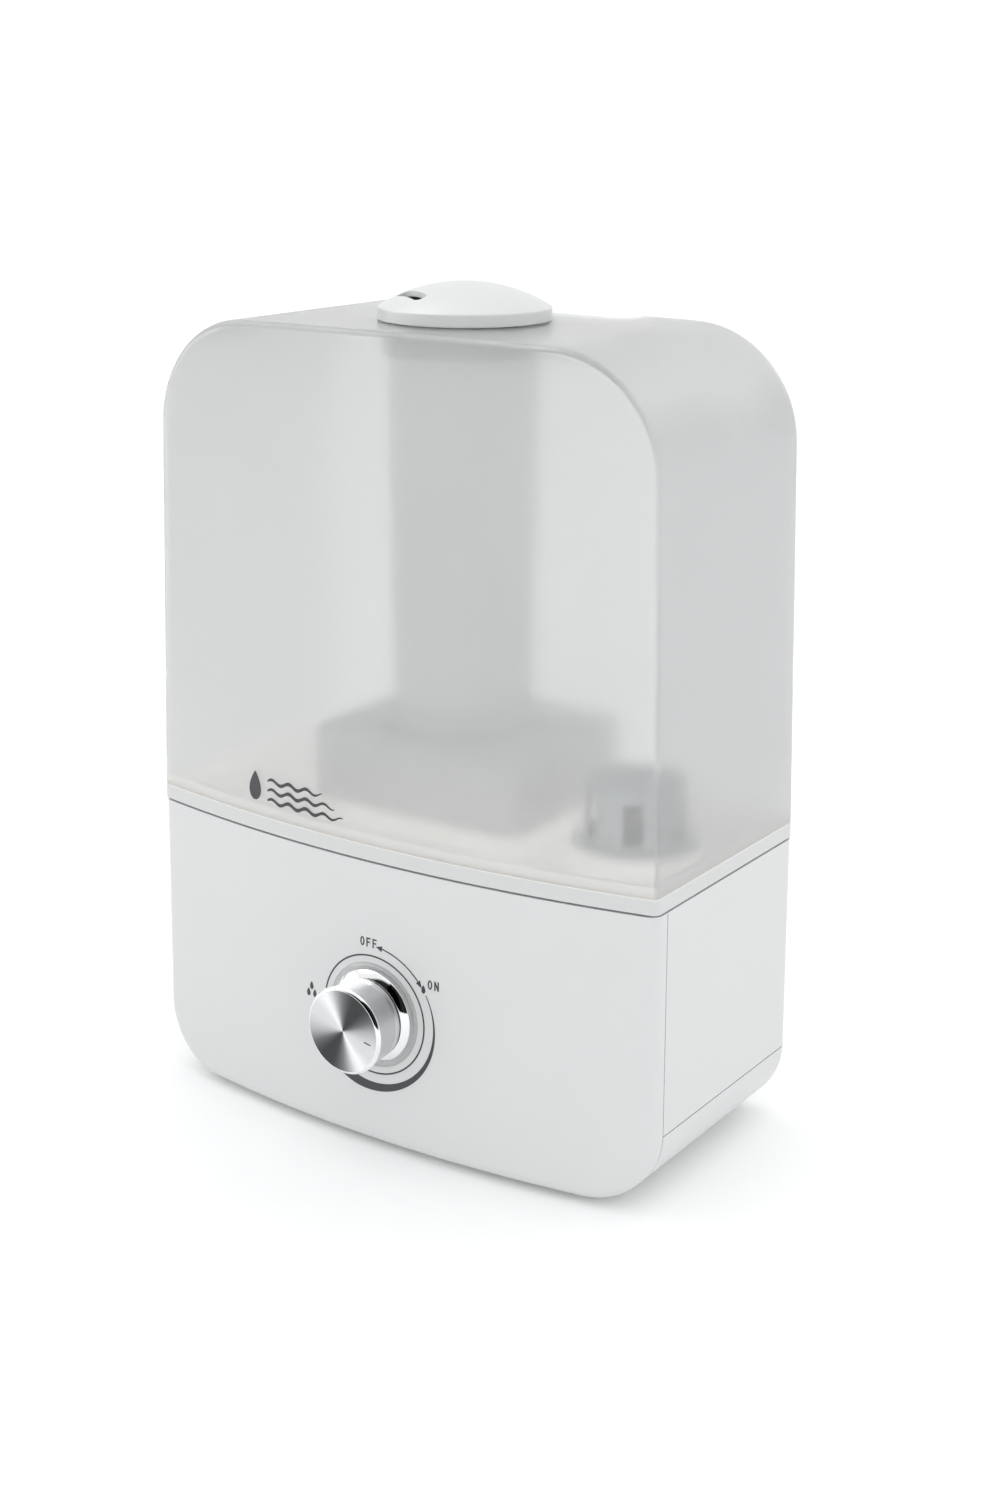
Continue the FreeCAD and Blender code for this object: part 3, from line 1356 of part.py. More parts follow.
def tank_base_plate():
    low = box(
        "plate_zone",
        (f"-{HALF_WIDTH} - 5", f"{HALF_WIDTH} + 5"),
        (f"{BOW_TIP_Y} - 5", f"{BACK_Y} + 5"),
        (BAND_LOW_Z, TANK_FLOOR_Z),
    )
    foot_form = tank_form("foot_form", "0", BAND_LOW_Z)
    band = body_of("plate_band", overlap("band_block", foot_form, low))
    top = number(TANK_FLOOR_Z)
    bottom = number(BAND_LOW_Z)
    back = number(f"{BACK_Y} - 1")
    round_edges(
        band,
        "Dims.tank_front_radius",
        lambda edge: near(edge.BoundBox.ZMin, bottom) and near(edge.BoundBox.ZMax, top)
        and edge.BoundBox.YMax < back,
    )
    round_edges(
        band,
        "Dims.tank_rear_radius",
        lambda edge: near(edge.BoundBox.ZMin, bottom) and near(edge.BoundBox.ZMax, top)
        and edge.BoundBox.YMin > back,
    )
    under = base_form(
        "plate_hollow",
        "Dims.base_wall",
        f"{BAND_LOW_Z} - 1",
        TANK_UNDER_Z,
        rounded_below=False,
    )
    lip_outside = tank_form("lip_outside", "Dims.tank_wall + 0.05", f"{TANK_FLOOR_Z} - 1")
    lip_inside = tank_form("lip_inside", "Dims.tank_wall + 1.8", f"{TANK_FLOOR_Z} - 2")
    lip_zone = box(
        "lip_zone",
        (f"-{HALF_WIDTH} - 5", f"{HALF_WIDTH} + 5"),
        (f"{BOW_TIP_Y} - 5", f"{BACK_Y} + 5"),
        (f"{TANK_FLOOR_Z} - 1", f"{TANK_FLOOR_Z} + Dims.weld_lip"),
    )
    lip = overlap("weld_lip", carve("lip_ring", lip_outside, lip_inside), lip_zone)

    chamber_low = f"{TANK_UNDER_Z} - Dims.chamber_dip"
    block = rounded_box(
        "chamber_block",
        chamber_span("x", "0"),
        chamber_span("y", "0"),
        (chamber_low, CHAMBER_TOP_Z),
        "Dims.chamber_radius",
    )
    high = number(CHAMBER_TOP_Z)
    round_edges(
        block,
        "3",
        lambda edge: near(edge.BoundBox.ZMin, high) and near(edge.BoundBox.ZMax, high),
    )
    room = rounded_box(
        "chamber_room",
        chamber_span("x", "-Dims.chamber_wall"),
        chamber_span("y", "-Dims.chamber_wall"),
        (f"{chamber_low} - 1", f"{CHAMBER_TOP_Z} - Dims.chamber_wall"),
        "Dims.chamber_radius - Dims.chamber_wall",
    )
    duct_place = ("0", DUCT_Y)
    socket = rod(
        "duct_socket",
        "Dims.duct_low_radius + Dims.fit + 2",
        (*duct_place, f"{CHAMBER_TOP_Z} - 1"),
        "Dims.duct_collar + 1",
    )
    socket_bore = taper(
        "duct_socket_bore",
        "Dims.duct_low_radius + Dims.fit",
        "Dims.duct_low_radius + Dims.fit + 0.1",
        (*duct_place, CHAMBER_TOP_Z),
        "Dims.duct_collar + 1",
    )
    mist_hole = rod(
        "mist_hole",
        "Dims.duct_low_radius - Dims.duct_wall",
        (*duct_place, f"{CHAMBER_TOP_Z} - 10"),
        "Dims.duct_collar + 20",
    )
    neck_place = (NECK_X, NECK_Y)
    neck = rod("neck_outside", NECK_RADIUS, (*neck_place, NECK_LOW_Z), f"{NECK_TOP_Z} - {NECK_LOW_Z}")
    neck_bore = rod(
        "neck_bore",
        "Dims.cap_radius + Dims.running_fit",
        (*neck_place, f"{NECK_LOW_Z} - 1"),
        f"{NECK_TOP_Z} - {NECK_LOW_Z} + 2",
    )
    solid = join("plate_solid", carve("plate_tray", band, under), lip, block, neck, socket)
    carve("tank_base_plate", solid, room, socket_bore, mist_hole, neck_bore)


def mist_duct():
    length = f"{SHOULDER_Z} - Dims.tank_wall - 1 - {CHAMBER_TOP_Z}"
    start = ("0", DUCT_Y, CHAMBER_TOP_Z)
    outside = taper("duct_outside", "Dims.duct_low_radius", DUCT_HIGH_RADIUS, start, length)
    inside = taper(
        "duct_inside",
        "Dims.duct_low_radius - Dims.duct_wall",
        f"{DUCT_HIGH_RADIUS} - Dims.duct_wall",
        start,
        length,
    )
    carve("mist_duct", outside, inside)


def fill_cap():
    """The cap that screws into the neck from below: grip flange, plug, and a tower with the valve."""
    place = (NECK_X, NECK_Y)
    low = CAP_LOW_Z
    grip = f"({NECK_RADIUS} - 0.3)"
    flange = rod("cap_flange_disc", grip, (*place, low), "Dims.cap_flange")
    plug = rod("cap_plug", "Dims.cap_radius", (*place, low), f"{NECK_TOP_Z} - {low}")
    tower_radius = "(Dims.cap_radius - 1)"
    tower = rod("cap_tower_rod", tower_radius, (*place, low), f"{TOWER_TOP_Z} - {low}")
    hollow = rod(
        "cap_hollow",
        f"{tower_radius} - Dims.cap_wall",
        (*place, SEAT_Z),
        f"{TOWER_TOP_Z} - Dims.cap_wall - {SEAT_Z}",
    )
    valve_hole = rod("cap_valve_hole", "Dims.valve_hole", (*place, f"{low} - 1"), "Dims.cap_wall + 3")
    window = box(
        "cap_window_cut",
        ("-Dims.cap_radius - 5", "Dims.cap_radius + 5"),
        ("-3.5", "3.5"),
        (f"{NECK_TOP_Z} + 3", f"{TOWER_TOP_Z} - 4"),
    )
    windows = copies_round("cap_window", window, (0, 60, 120), place)
    notch = rod("cap_notch_cut", "1.1", (grip, "0", f"{low} - 1"), "Dims.cap_flange + 2")
    notches = copies_round("cap_notch", notch, range(0, 360, 30), place)
    guide = rod("cap_guide", "Dims.stem_radius + 1.6", (*place, GUIDE_LOW_Z), "Dims.guide_depth + 0.5")
    guide_bore = rod(
        "cap_guide_bore",
        "Dims.stem_radius + Dims.running_fit",
        (*place, f"{GUIDE_LOW_Z} - 1"),
        "Dims.guide_depth + Dims.cap_wall + 5",
    )
    outside = join("cap_outside", flange, plug, tower)
    cup = carve("cap_cup", outside, hollow, valve_hole, *windows, *notches)
    carve("fill_cap", join("cap_guided", cup, guide), guide_bore)

    tube(
        "fill_gasket",
        grip,
        "Dims.cap_radius + Dims.running_fit",
        (*place, GASKET_LOW_Z),
        "Dims.gasket_height",
    )


def valve():
    place = (NECK_X, NECK_Y)
    stem_length = "(Dims.stem_below + Dims.valve_seal_height + Dims.stem_above)"
    stem = rod("valve_stem", "Dims.stem_radius", (*place, STEM_LOW_Z), stem_length)
    collar = rod("valve_collar", "Dims.stem_radius + 3.2", (*place, SEAL_TOP_Z), "1.2")
    join("valve_plunger", stem, collar)
    tube(
        "valve_seal",
        "Dims.valve_seal_radius",
        "Dims.stem_radius",
        (*place, SEAT_Z),
        "Dims.valve_seal_height",
    )

    spring_low = number(f"{SEAL_TOP_Z} + 1.2 + Dims.spring_wire / 2 + 0.05")
    spring_high = number(f"{GUIDE_LOW_Z} - Dims.spring_wire / 2 - 0.05")
    radius = number("Dims.spring_radius")
    wire = number("Dims.spring_wire / 2")
    turns = number("Dims.spring_turns")
    steps = int(turns * SPRING_STEPS)
    rise = (spring_high - spring_low) / steps
    points = [
        Vector(
            radius * math.cos(2 * math.pi * step / SPRING_STEPS),
            radius * math.sin(2 * math.pi * step / SPRING_STEPS),
            rise * step,
        )
        for step in range(steps + 1)
    ]
    path = Part.BSplineCurve()
    path.interpolate(points)
    section = Part.Wire(Part.makeCircle(wire, points[0], path.tangent(0)[0]))
    spring = doc.addObject("Part::Feature", "valve_spring")
    spring.Shape = Part.Wire(path.toShape()).makePipeShell([section], True, True)
    put(spring, (*place, str(spring_low)))


def nozzle():
    place = ("0", DUCT_Y)
    flange_radius = "(Dims.nozzle_radius - Dims.nozzle_wall - 0.6)"
    outside = "Dims.sleeve_radius"
    inside = "(Dims.sleeve_radius - Dims.sleeve_wall)"
    flange_low = "(Dims.sleeve_depth + 0.1)"
    turned(
        "nozzle_sleeve",
        [
            (inside, "0"),
            (outside, "0"),
            (outside, flange_low),
            (flange_radius, flange_low),
            (flange_radius, f"{flange_low} + 1.4"),
            (outside, f"{flange_low} + 1.4"),
            (outside, f"{flange_low} + 4"),
            (inside, f"{flange_low} + 4"),
        ],
        (*place, f"{ROOF_Z} - Dims.sleeve_depth"),
    )

    dome_centre = f"({NOZZLE_TOP_Z} - {DOME_RADIUS})"
    block = overlap(
        "nozzle_block",
        rod(
            "nozzle_cylinder",
            "Dims.nozzle_radius",
            (*place, NOZZLE_LOW_Z),
            f"{NOZZLE_TOP_Z} - {NOZZLE_LOW_Z} + 1",
        ),
        ball("nozzle_dome", DOME_RADIUS, (*place, dome_centre)),
    )
    block = body_of("nozzle_outside", block)
    rim = number(NOZZLE_RIM_Z)
    round_edges(
        block,
        "0.8",
        lambda edge: near(edge.BoundBox.ZMin, rim, 0.1) and near(edge.BoundBox.ZMax, rim, 0.1)
        and edge.BoundBox.XLength > 10,
    )
    room = overlap(
        "nozzle_room",
        rod(
            "nozzle_room_cylinder",
            "Dims.nozzle_radius - Dims.nozzle_wall",
            (*place, f"{NOZZLE_LOW_Z} - 1"),
            f"{NOZZLE_TOP_Z} - {NOZZLE_LOW_Z} + 5",
        ),
        ball("nozzle_room_dome", f"{DOME_RADIUS} - Dims.nozzle_wall", (*place, dome_centre)),
    )
    pivot_low = f"({ROOF_Z} + 0.1 + 1.4 + 0.3)"
    pivot_tube = tube(
        "nozzle_pivot_tube",
        "Dims.sleeve_radius + Dims.running_fit + 1.4",
        "Dims.sleeve_radius + Dims.running_fit",
        (*place, pivot_low),
        f"{NOZZLE_TOP_Z} - {pivot_low}",
    )
    pivot = overlap(
        "nozzle_pivot",
        pivot_tube,
        ball("nozzle_pivot_dome", f"{DOME_RADIUS} - Dims.nozzle_wall + 0.4", (*place, dome_centre)),
    )
    slot = rounded_box(
        "mist_slot_cut",
        around("Dims.slot_reach", "Dims.slot_width"),
        around("0", "Dims.slot_length"),
        (f"{NOZZLE_RIM_Z} + 0.8", f"{NOZZLE_TOP_Z} + 5"),
        "Dims.slot_width / 2 - 0.2",
    )
    slots = copies_round("mist_slot", slot, (-119, 61), place)
    hollow = carve("nozzle_hollow", block, room)
    carve("nozzle_cap", join("nozzle_joined", hollow, pivot), *slots)


NODES = [
    "front_panel", "rear_housing", "bottom_cover", "rubber_feet", "case_screws",
    "intake_grille", "intake_filter",
    "water_basin", "air_chimney", "transducer_disc", "transducer_seal", "transducer_clamp",
    "level_float", "float_magnet", "float_clip", "level_switch",
    "fan_frame", "fan_motor", "fan_rotor", "air_duct",
    "power_board", "power_transformer", "driver_board", "driver_heatsink", "cord_gland",
    "dial_potentiometer", "dial_shaft", "control_board", "dial_trim_ring", "knob_shell", "knob_core",
    "tank_shell", "tank_base_plate", "mist_duct",
    "fill_cap", "fill_gasket", "valve_plunger", "valve_seal", "valve_spring",
    "nozzle_sleeve", "nozzle_cap",
]


def write_nodes():
    """Checks every object, then writes each sub-part to its own file."""
    doc.recompute()
    for thing in doc.Objects:
        if "Invalid" in thing.State or "Error" in thing.State:
            raise RuntimeError(f"{thing.Name} did not build: {thing.State}")
    os.makedirs("parts", exist_ok=True)
    for name in NODES:
        node = doc.getObject(name)
        node.Label = name
        shape = node.Shape
        if shape.isNull() or not shape.isValid() or not shape.Solids:
            raise RuntimeError(f"{name} has no valid solid")
        print(f"{name}: {len(shape.Solids)} solid(s), {shape.Volume:.0f} mm3")
        shape.exportStep(f"parts/{name}.step")


base_mouldings()
feet_and_screws()
intake()
water_basin()
air_chimney()
transducer()
level_float()
fan()
air_duct()
power_board()
driver_board()
cord_gland()
dial()
tank_shell()
tank_base_plate()
mist_duct()
fill_cap()
valve()
nozzle()
write_nodes()
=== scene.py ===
import json
import math

import bmesh
import bpy
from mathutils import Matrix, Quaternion, Vector
from mathutils.bvhtree import BVHTree


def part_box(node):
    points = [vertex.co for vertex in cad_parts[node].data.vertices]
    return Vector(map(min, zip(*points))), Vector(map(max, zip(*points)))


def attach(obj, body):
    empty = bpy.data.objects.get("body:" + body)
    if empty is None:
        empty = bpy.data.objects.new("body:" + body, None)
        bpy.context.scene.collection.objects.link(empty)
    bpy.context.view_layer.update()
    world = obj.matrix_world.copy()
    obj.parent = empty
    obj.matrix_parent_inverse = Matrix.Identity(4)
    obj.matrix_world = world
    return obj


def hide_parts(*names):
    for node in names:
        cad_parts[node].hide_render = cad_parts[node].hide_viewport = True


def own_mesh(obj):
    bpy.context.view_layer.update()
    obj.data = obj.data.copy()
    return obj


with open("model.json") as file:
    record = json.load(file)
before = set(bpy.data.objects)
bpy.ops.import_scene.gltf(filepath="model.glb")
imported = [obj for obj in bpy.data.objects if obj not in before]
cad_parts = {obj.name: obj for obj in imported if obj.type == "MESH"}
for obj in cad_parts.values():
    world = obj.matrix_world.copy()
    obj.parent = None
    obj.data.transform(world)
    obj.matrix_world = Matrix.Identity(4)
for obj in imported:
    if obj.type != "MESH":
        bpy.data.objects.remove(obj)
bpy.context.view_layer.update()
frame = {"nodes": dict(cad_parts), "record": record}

# A cool mist humidifier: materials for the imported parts, plus finer pieces where the eye goes:
# the spun metal knob, the chrome ring and the dish behind it, the printed dial, and the mark on the tank.
# Metres, +Z up, bowed front towards -Y.

MM = 0.001

record = frame["record"]
slot_of = {part["node"]: part["material_slot"] for part in record["subparts"]}


# ---------------------------------------------------------------- materials

class Paint:
    """A Principled material whose colour, roughness and bump come from object-space patterns."""

    def __init__(self, name, **sockets):
        self.material = bpy.data.materials.new(name)
        self.material.use_nodes = True
        self.nodes = self.material.node_tree.nodes
        self.links = self.material.node_tree.links
        self.shader = self.nodes["Principled BSDF"]
        for socket, value in sockets.items():
            self.shader.inputs[socket.replace("_", " ")].default_value = value
        self.place = self.nodes.new("ShaderNodeTexCoord").outputs["Object"]

    def set(self, socket, source):
        self.links.new(source, self.shader.inputs[socket])

    def stretched(self, scale):
        mapping = self.nodes.new("ShaderNodeMapping")
        mapping.inputs["Scale"].default_value = scale
        self.links.new(self.place, mapping.inputs["Vector"])
        return mapping.outputs["Vector"]

    def noise(self, scale, detail=3.0, roughness=0.55, where=None):
        node = self.nodes.new("ShaderNodeTexNoise")
        node.inputs["Scale"].default_value = scale
        node.inputs["Detail"].default_value = detail
        node.inputs["Roughness"].default_value = roughness
        self.links.new(where or self.place, node.inputs["Vector"])
        return node.outputs["Fac"]

    def cells(self, scale, feature="F1"):
        node = self.nodes.new("ShaderNodeTexVoronoi")
        node.feature = feature
        node.inputs["Scale"].default_value = scale
        self.links.new(self.place, node.inputs["Vector"])
        return node.outputs["Distance"]

    def bands(self, scale, direction, distortion):
        node = self.nodes.new("ShaderNodeTexWave")
        node.wave_type = "BANDS"
        node.bands_direction = direction
        node.inputs["Scale"].default_value = scale
        node.inputs["Distortion"].default_value = distortion
        self.links.new(self.place, node.inputs["Vector"])
        return node.outputs["Fac"]

    def ramp(self, source, *stops):
        node = self.nodes.new("ShaderNodeValToRGB")
        ramp = node.color_ramp
        while len(ramp.elements) < len(stops):
            ramp.elements.new(0.5)
        for element, (position, colour) in zip(ramp.elements, stops):
            element.position = position
            element.color = (*colour, 1.0)
        self.links.new(source, node.inputs["Fac"])
        return node.outputs["Color"]

    def span(self, source, low, high, start=0.0, end=1.0):
        node = self.nodes.new("ShaderNodeMapRange")
        node.inputs["From Min"].default_value = start
        node.inputs["From Max"].default_value = end
        node.inputs["To Min"].default_value = low
        node.inputs["To Max"].default_value = high
        self.links.new(source, node.inputs["Value"])
        return node.outputs["Result"]

    def maths(self, operation, first, second):
        node = self.nodes.new("ShaderNodeMath")
        node.operation = operation
        for slot, value in enumerate((first, second)):
            if isinstance(value, (int, float)):
                node.inputs[slot].default_value = value
            else:
                self.links.new(value, node.inputs[slot])
        return node.outputs["Value"]

    def axis(self, name):
        node = self.nodes.new("ShaderNodeSeparateXYZ")
        self.links.new(self.place, node.inputs["Vector"])
        return node.outputs[name]

    def bump(self, height, depth, strength=1.0):
        node = self.nodes.new("ShaderNodeBump")
        node.inputs["Strength"].default_value = strength
        node.inputs["Distance"].default_value = depth
        self.links.new(height, node.inputs["Height"])
        self.set("Normal", node.outputs["Normal"])


def tint(colour, factor):
    return tuple(min(1.0, channel * factor) for channel in colour)


def moulded(name, colour, roughness, grain=900, depth=0.00002, mottle=0.02, **sockets):
    """Moulded plastic: fine spark-eroded grain, and a slow drift of tone and gloss."""
    paint = Paint(name, **sockets)
    drift = paint.noise(14, 2.0)
    tones = ((0.3, tint(colour, 1 - mottle)), (0.7, tint(colour, 1 + mottle)))
    paint.set("Base Color", paint.ramp(drift, *tones))
    fine = paint.noise(grain, 4.0)
    paint.set("Roughness", paint.span(fine, roughness - 0.05, roughness + 0.05, 0.3, 0.7))
    paint.bump(fine, depth, 0.5)
    return paint


def metal(name, colour, roughness, along="Z", lines=1800, depth=0.000008):
    """Drawn or rolled metal with fine lines along one axis."""
    paint = Paint(name, Metallic=1.0)
    scale = {"X": (0.03, 1, 1), "Y": (1, 0.03, 1), "Z": (1, 1, 0.03)}[along]
    lines_here = paint.noise(lines, 3.0, 0.6, paint.stretched(scale))
    paint.set("Base Color", paint.ramp(lines_here, (0.3, tint(colour, 0.9)), (0.7, tint(colour, 1.06))))
    paint.set("Roughness", paint.span(lines_here, roughness - 0.07, roughness + 0.07, 0.3, 0.7))
    paint.bump(lines_here, depth, 0.4)
    return paint


def satin(name, colour, roughness):
    """Fine turned metal round the dial's axis."""
    paint = Paint(name, Metallic=1.0, Anisotropic=0.96, Anisotropic_Rotation=0.25)
    tangent = paint.nodes.new("ShaderNodeTangent")
    tangent.direction_type = "RADIAL"
    tangent.axis = "Y"
    paint.set("Tangent", tangent.outputs["Tangent"])
    grooves = paint.noise(2600, 2.0)
    paint.set("Base Color", paint.ramp(grooves, (0.3, tint(colour, 0.94)), (0.7, tint(colour, 1.04))))
    paint.set("Roughness", paint.span(grooves, roughness - 0.04, roughness + 0.04, 0.3, 0.7))
    return paint


WHITE = (0.672, 0.682, 0.680)
BAND_TOP = 115.6 * MM       # just under the tank's floor


def make_paints():
    paints = {
        "spun_aluminium": satin("spun_aluminium", (0.78, 0.79, 0.80), 0.3),
        "steel": metal("steel", (0.60, 0.61, 0.63), 0.3),
        "sink_metal": metal("sink_metal", (0.68, 0.69, 0.70), 0.38, along="Y"),
        "disc_metal": metal("disc_metal", (0.70, 0.67, 0.58), 0.25, along="X", lines=900),
    }
    plastics = {
        "shell_white": (WHITE, 0.34, dict(mottle=0.008, Coat_Weight=0.12, Coat_Roughness=0.25)),
        "inner_white": ((0.90, 0.90, 0.89), 0.45, dict(mottle=0.012)),
        "duct_white": ((0.76, 0.767, 0.765), 0.5, dict(mottle=0.02)),
        "natural_plastic": ((0.56, 0.575, 0.58), 0.4, dict(mottle=0.03, Subsurface_Weight=0.1)),
        "dark_plastic": ((0.035, 0.036, 0.04), 0.5, dict(grain=1400, depth=0.00004, mottle=0.15)),
        "seal_rubber": ((0.60, 0.62, 0.63), 0.62, dict(grain=500, mottle=0.03)),
        "foot_rubber": ((0.028, 0.028, 0.03), 0.8, dict(grain=700, depth=0.00008, mottle=0.2)),
        "magnet": ((0.03, 0.03, 0.032), 0.45, dict(grain=2500, mottle=0.25)),
    }
    for name, (colour, roughness, extra) in plastics.items():
        paints[name] = moulded(name, colour, roughness, **extra)

    board = Paint("board", Roughness=0.35, Coat_Weight=0.4)
    tracks = board.cells(160, "DISTANCE_TO_EDGE")
    board.set("Base Color", board.ramp(tracks, (0.04, (0.05, 0.22, 0.10)), (0.09, (0.02, 0.11, 0.045))))
    board.bump(tracks, 0.00005, 0.5)
    paints["board"] = board

    coil = Paint("coil", Roughness=0.5)
    turns = coil.bands(420, "Z", 0.4)
    coil.set("Base Color", coil.ramp(turns, (0.2, (0.42, 0.26, 0.04)), (0.8, (0.72, 0.52, 0.14))))
    coil.bump(turns, 0.00015, 0.7)
    paints["coil"] = coil

    foam = Paint("foam", Roughness=0.95, Sheen_Weight=0.3)
    pores = foam.cells(900)
    foam.set("Base Color", foam.ramp(pores, (0.0, (0.01, 0.01, 0.012)), (0.6, (0.09, 0.09, 0.095))))
    foam.bump(pores, 0.0006)
    paints["foam"] = foam

    chrome = Paint("chrome_trim", Metallic=1.0)
    smudge = chrome.noise(90, 4.0)
    chrome.set("Base Color", chrome.ramp(smudge, (0.3, (0.86, 0.87, 0.88)), (0.7, (0.92, 0.925, 0.93))))
    chrome.set("Roughness", chrome.span(smudge, 0.03, 0.09, 0.35, 0.7))
    paints["chrome_trim"] = chrome

    frosted = Paint("tank_frosted", IOR=1.15, Transmission_Weight=0.80, Coat_Weight=0.45, Coat_Roughness=0.14)
    cloud = frosted.noise(9, 3.0)
    # Walls that face along X are painted darker: painted shade on the tank's sides, mixed into a cloudy drift
    # of tone.
    facing = frosted.nodes.new("ShaderNodeSeparateXYZ")
    geometry = frosted.nodes.new("ShaderNodeNewGeometry")
    frosted.links.new(geometry.outputs["Normal"], facing.inputs["Vector"])
    painted_side_shade = frosted.span(frosted.maths("ABSOLUTE", facing.outputs["X"], 0.0), 0.0, 0.6, 0.6, 0.97)
    tone = frosted.maths("SUBTRACT", cloud, painted_side_shade)
    stops = ((0.0, (0.77, 0.777, 0.78)), (0.3, (0.875, 0.880, 0.878)), (0.7, (0.892, 0.896, 0.894)))
    frosted.set("Base Color", frosted.ramp(tone, *stops))
    frost = frosted.noise(1300, 4.0)
    frosted.set("Roughness", frosted.span(frost, 0.32, 0.42, 0.3, 0.7))
    frosted.bump(frost, 0.00002, 0.5)
    paints["tank_frosted"] = frosted

    # The tank's floor is painted brighter inside than at its band, and lit by its own emission: painted light
    # standing in for what the frosted walls spread over it.
    plate = Paint("plate_painted_glow", Coat_Weight=0.1, Coat_Roughness=0.25, Emission_Strength=0.17)
    height = plate.span(plate.axis("Z"), 0.0, 1.0, BAND_TOP, BAND_TOP + 10 * MM)
    band, floor, block = (0.63, 0.64, 0.638), (0.965, 0.955, 0.93), (0.70, 0.705, 0.695)
    plate.set("Base Color", plate.ramp(height, (0.0, band), (0.015, floor), (0.35, floor), (0.8, block)))
    dark, warm = (0, 0, 0), (1.0, 0.975, 0.93)
    painted_glow = plate.ramp(height, (0.0, dark), (0.015, warm), (0.35, warm), (0.8, dark))
    plate.set("Emission Color", painted_glow)
    grain = plate.noise(900, 4.0)
    plate.set("Roughness", plate.span(grain, 0.38, 0.48, 0.3, 0.7))
    plate.bump(grain, 0.00002, 0.5)
    paints["plate_painted_glow"] = plate
    return paints


PAINTS = make_paints()
# Nodes that look different from the rest of their slot.
LOOKS = {"tank_base_plate": "plate_painted_glow", "mist_duct": "duct_white"}

for node, cad in frame["nodes"].items():
    cad.data.materials.clear()
    cad.data.materials.append(PAINTS[LOOKS.get(node, slot_of[node])].material)


# ---------------------------------------------------------------- making pieces

def piece(name, mesh_data, body, material, smooth=True):
    """A new object that rides a body; without a material it keeps those its mesh already has."""
    thing = bpy.data.objects.new(name, mesh_data)
    bpy.context.scene.collection.objects.link(thing)
    if material is not None:
        mesh_data.materials.append(material)
    for polygon in mesh_data.polygons:
        polygon.use_smooth = smooth
    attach(thing, body)
    return thing


def finished(builder, name):
    """The mesh of a closed bmesh, with its faces turned outwards."""
    bmesh.ops.recalc_face_normals(builder, faces=builder.faces)
    mesh_data = bpy.data.meshes.new(name)
    builder.to_mesh(mesh_data)
    builder.free()
    return mesh_data


def lathe(name, profile, centre, segments=160):
    """A closed profile turned about the dial's axis, as (radius, height towards -Y, material index)."""
    builder = bmesh.new()
    rings = []
    for radius, height, _ in profile:
        if radius == 0:
            rings.append([builder.verts.new(centre + Vector((0, -height, 0)))])
            continue
        ring = []
        for step in range(segments):
            angle = 2 * math.pi * step / segments
            spot = Vector((radius * math.cos(angle), -height, radius * math.sin(angle)))
            ring.append(builder.verts.new(centre + spot))
        rings.append(ring)
    for index, (_, _, paint) in enumerate(profile):
        first, second = rings[index], rings[(index + 1) % len(rings)]
        if len(first) == 1 and len(second) == 1:
            continue
        for step in range(segments):
            after = (step + 1) % segments
            near = [first[step % len(first)], first[after % len(first)]]
            far = [second[after % len(second)], second[step % len(second)]]
            face = builder.faces.new(list(dict.fromkeys(near + far)))
            face.material_index = paint
    return finished(builder, name)


class Skin:
    """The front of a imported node, found by looking along +Y."""

    def __init__(self, node):
        mesh_data = frame["nodes"][node].data
        corners = [vertex.co.copy() for vertex in mesh_data.vertices]
        faces = [tuple(polygon.vertices) for polygon in mesh_data.polygons]
        self.tree = BVHTree.FromPolygons(corners, faces)

    def depth(self, x, z):
        hit = self.tree.ray_cast(Vector((x, -1.0, z)), Vector((0, 1, 0)))[0]
        return hit.y

    def point(self, x, z, lift):
        return Vector((x, self.depth(x, z) - lift, z))


PRINT_LIFT = 0.06 * MM
PRINT_SINK = 0.25 * MM


def printed(name, outlines, skin, body):
    """Ink shapes laid on a skin: each outline is a strip between two lists of (x, z) points."""
    builder = bmesh.new()
    for left, right in outlines:
        rows = []
        for a, b in zip(left, right):
            ring = ((a, PRINT_LIFT), (b, PRINT_LIFT), (b, -PRINT_SINK), (a, -PRINT_SINK))
            rows.append([builder.verts.new(skin.point(*spot, lift)) for spot, lift in ring])
        for low, high in zip(rows, rows[1:]):
            for side in range(4):
                other = (side + 1) % 4
                builder.faces.new((low[side], low[other], high[other], high[side]))
        builder.faces.new(rows[0])
        builder.faces.new(tuple(reversed(rows[-1])))
    return piece(name, finished(builder, name), body, INK.material, smooth=False)


def clock(centre, radius, degrees):
    """A point at an angle measured clockwise from the top, as seen from the front."""
    angle = math.radians(degrees)
    return centre[0] + radius * math.sin(angle), centre[1] + radius * math.cos(angle)


def arc(centre, start, end, inside, outside, steps=72):
    """A strip between two radii, which may change along it."""
    left, right = [], []
    for step in range(steps + 1):
        share = step / steps
        degrees = start + (end - start) * share
        low = inside(share) if callable(inside) else inside
        high = outside(share) if callable(outside) else outside
        left.append(clock(centre, low, degrees))
        right.append(clock(centre, high, degrees))
    return left, right


def drop(centre, size):
    """A water drop, point up, as a strip of short rows."""
    left, right = [], []
    steps = 14
    for step in range(steps + 1):
        share = 0.01 + 0.98 * step / steps
        height = size * (share * 1.5 - 0.5)
        if share < 0.36:
            half = 0.5 * size * math.sqrt(max(0.0, 1 - ((0.36 - share) / 0.36) ** 2))
        else:
            half = 0.5 * size * math.cos((share - 0.36) / 0.64 * math.pi / 2) ** 0.9
        half = max(half, 0.02 * size)
        left.append((centre[0] - half * 0.8, centre[1] + height))
        right.append((centre[0] + half * 0.8, centre[1] + height))
    return left, right


def bar(start, end, width):
    """A straight stroke between two points."""
    dx, dz = end[0] - start[0], end[1] - start[1]
    length = math.hypot(dx, dz)
    nx, nz = -dz / length * width / 2, dx / length * width / 2
    left = [(start[0] + nx, start[1] + nz), (end[0] + nx, end[1] + nz)]
    right = [(start[0] - nx, start[1] - nz), (end[0] - nx, end[1] - nz)]
    return left, right


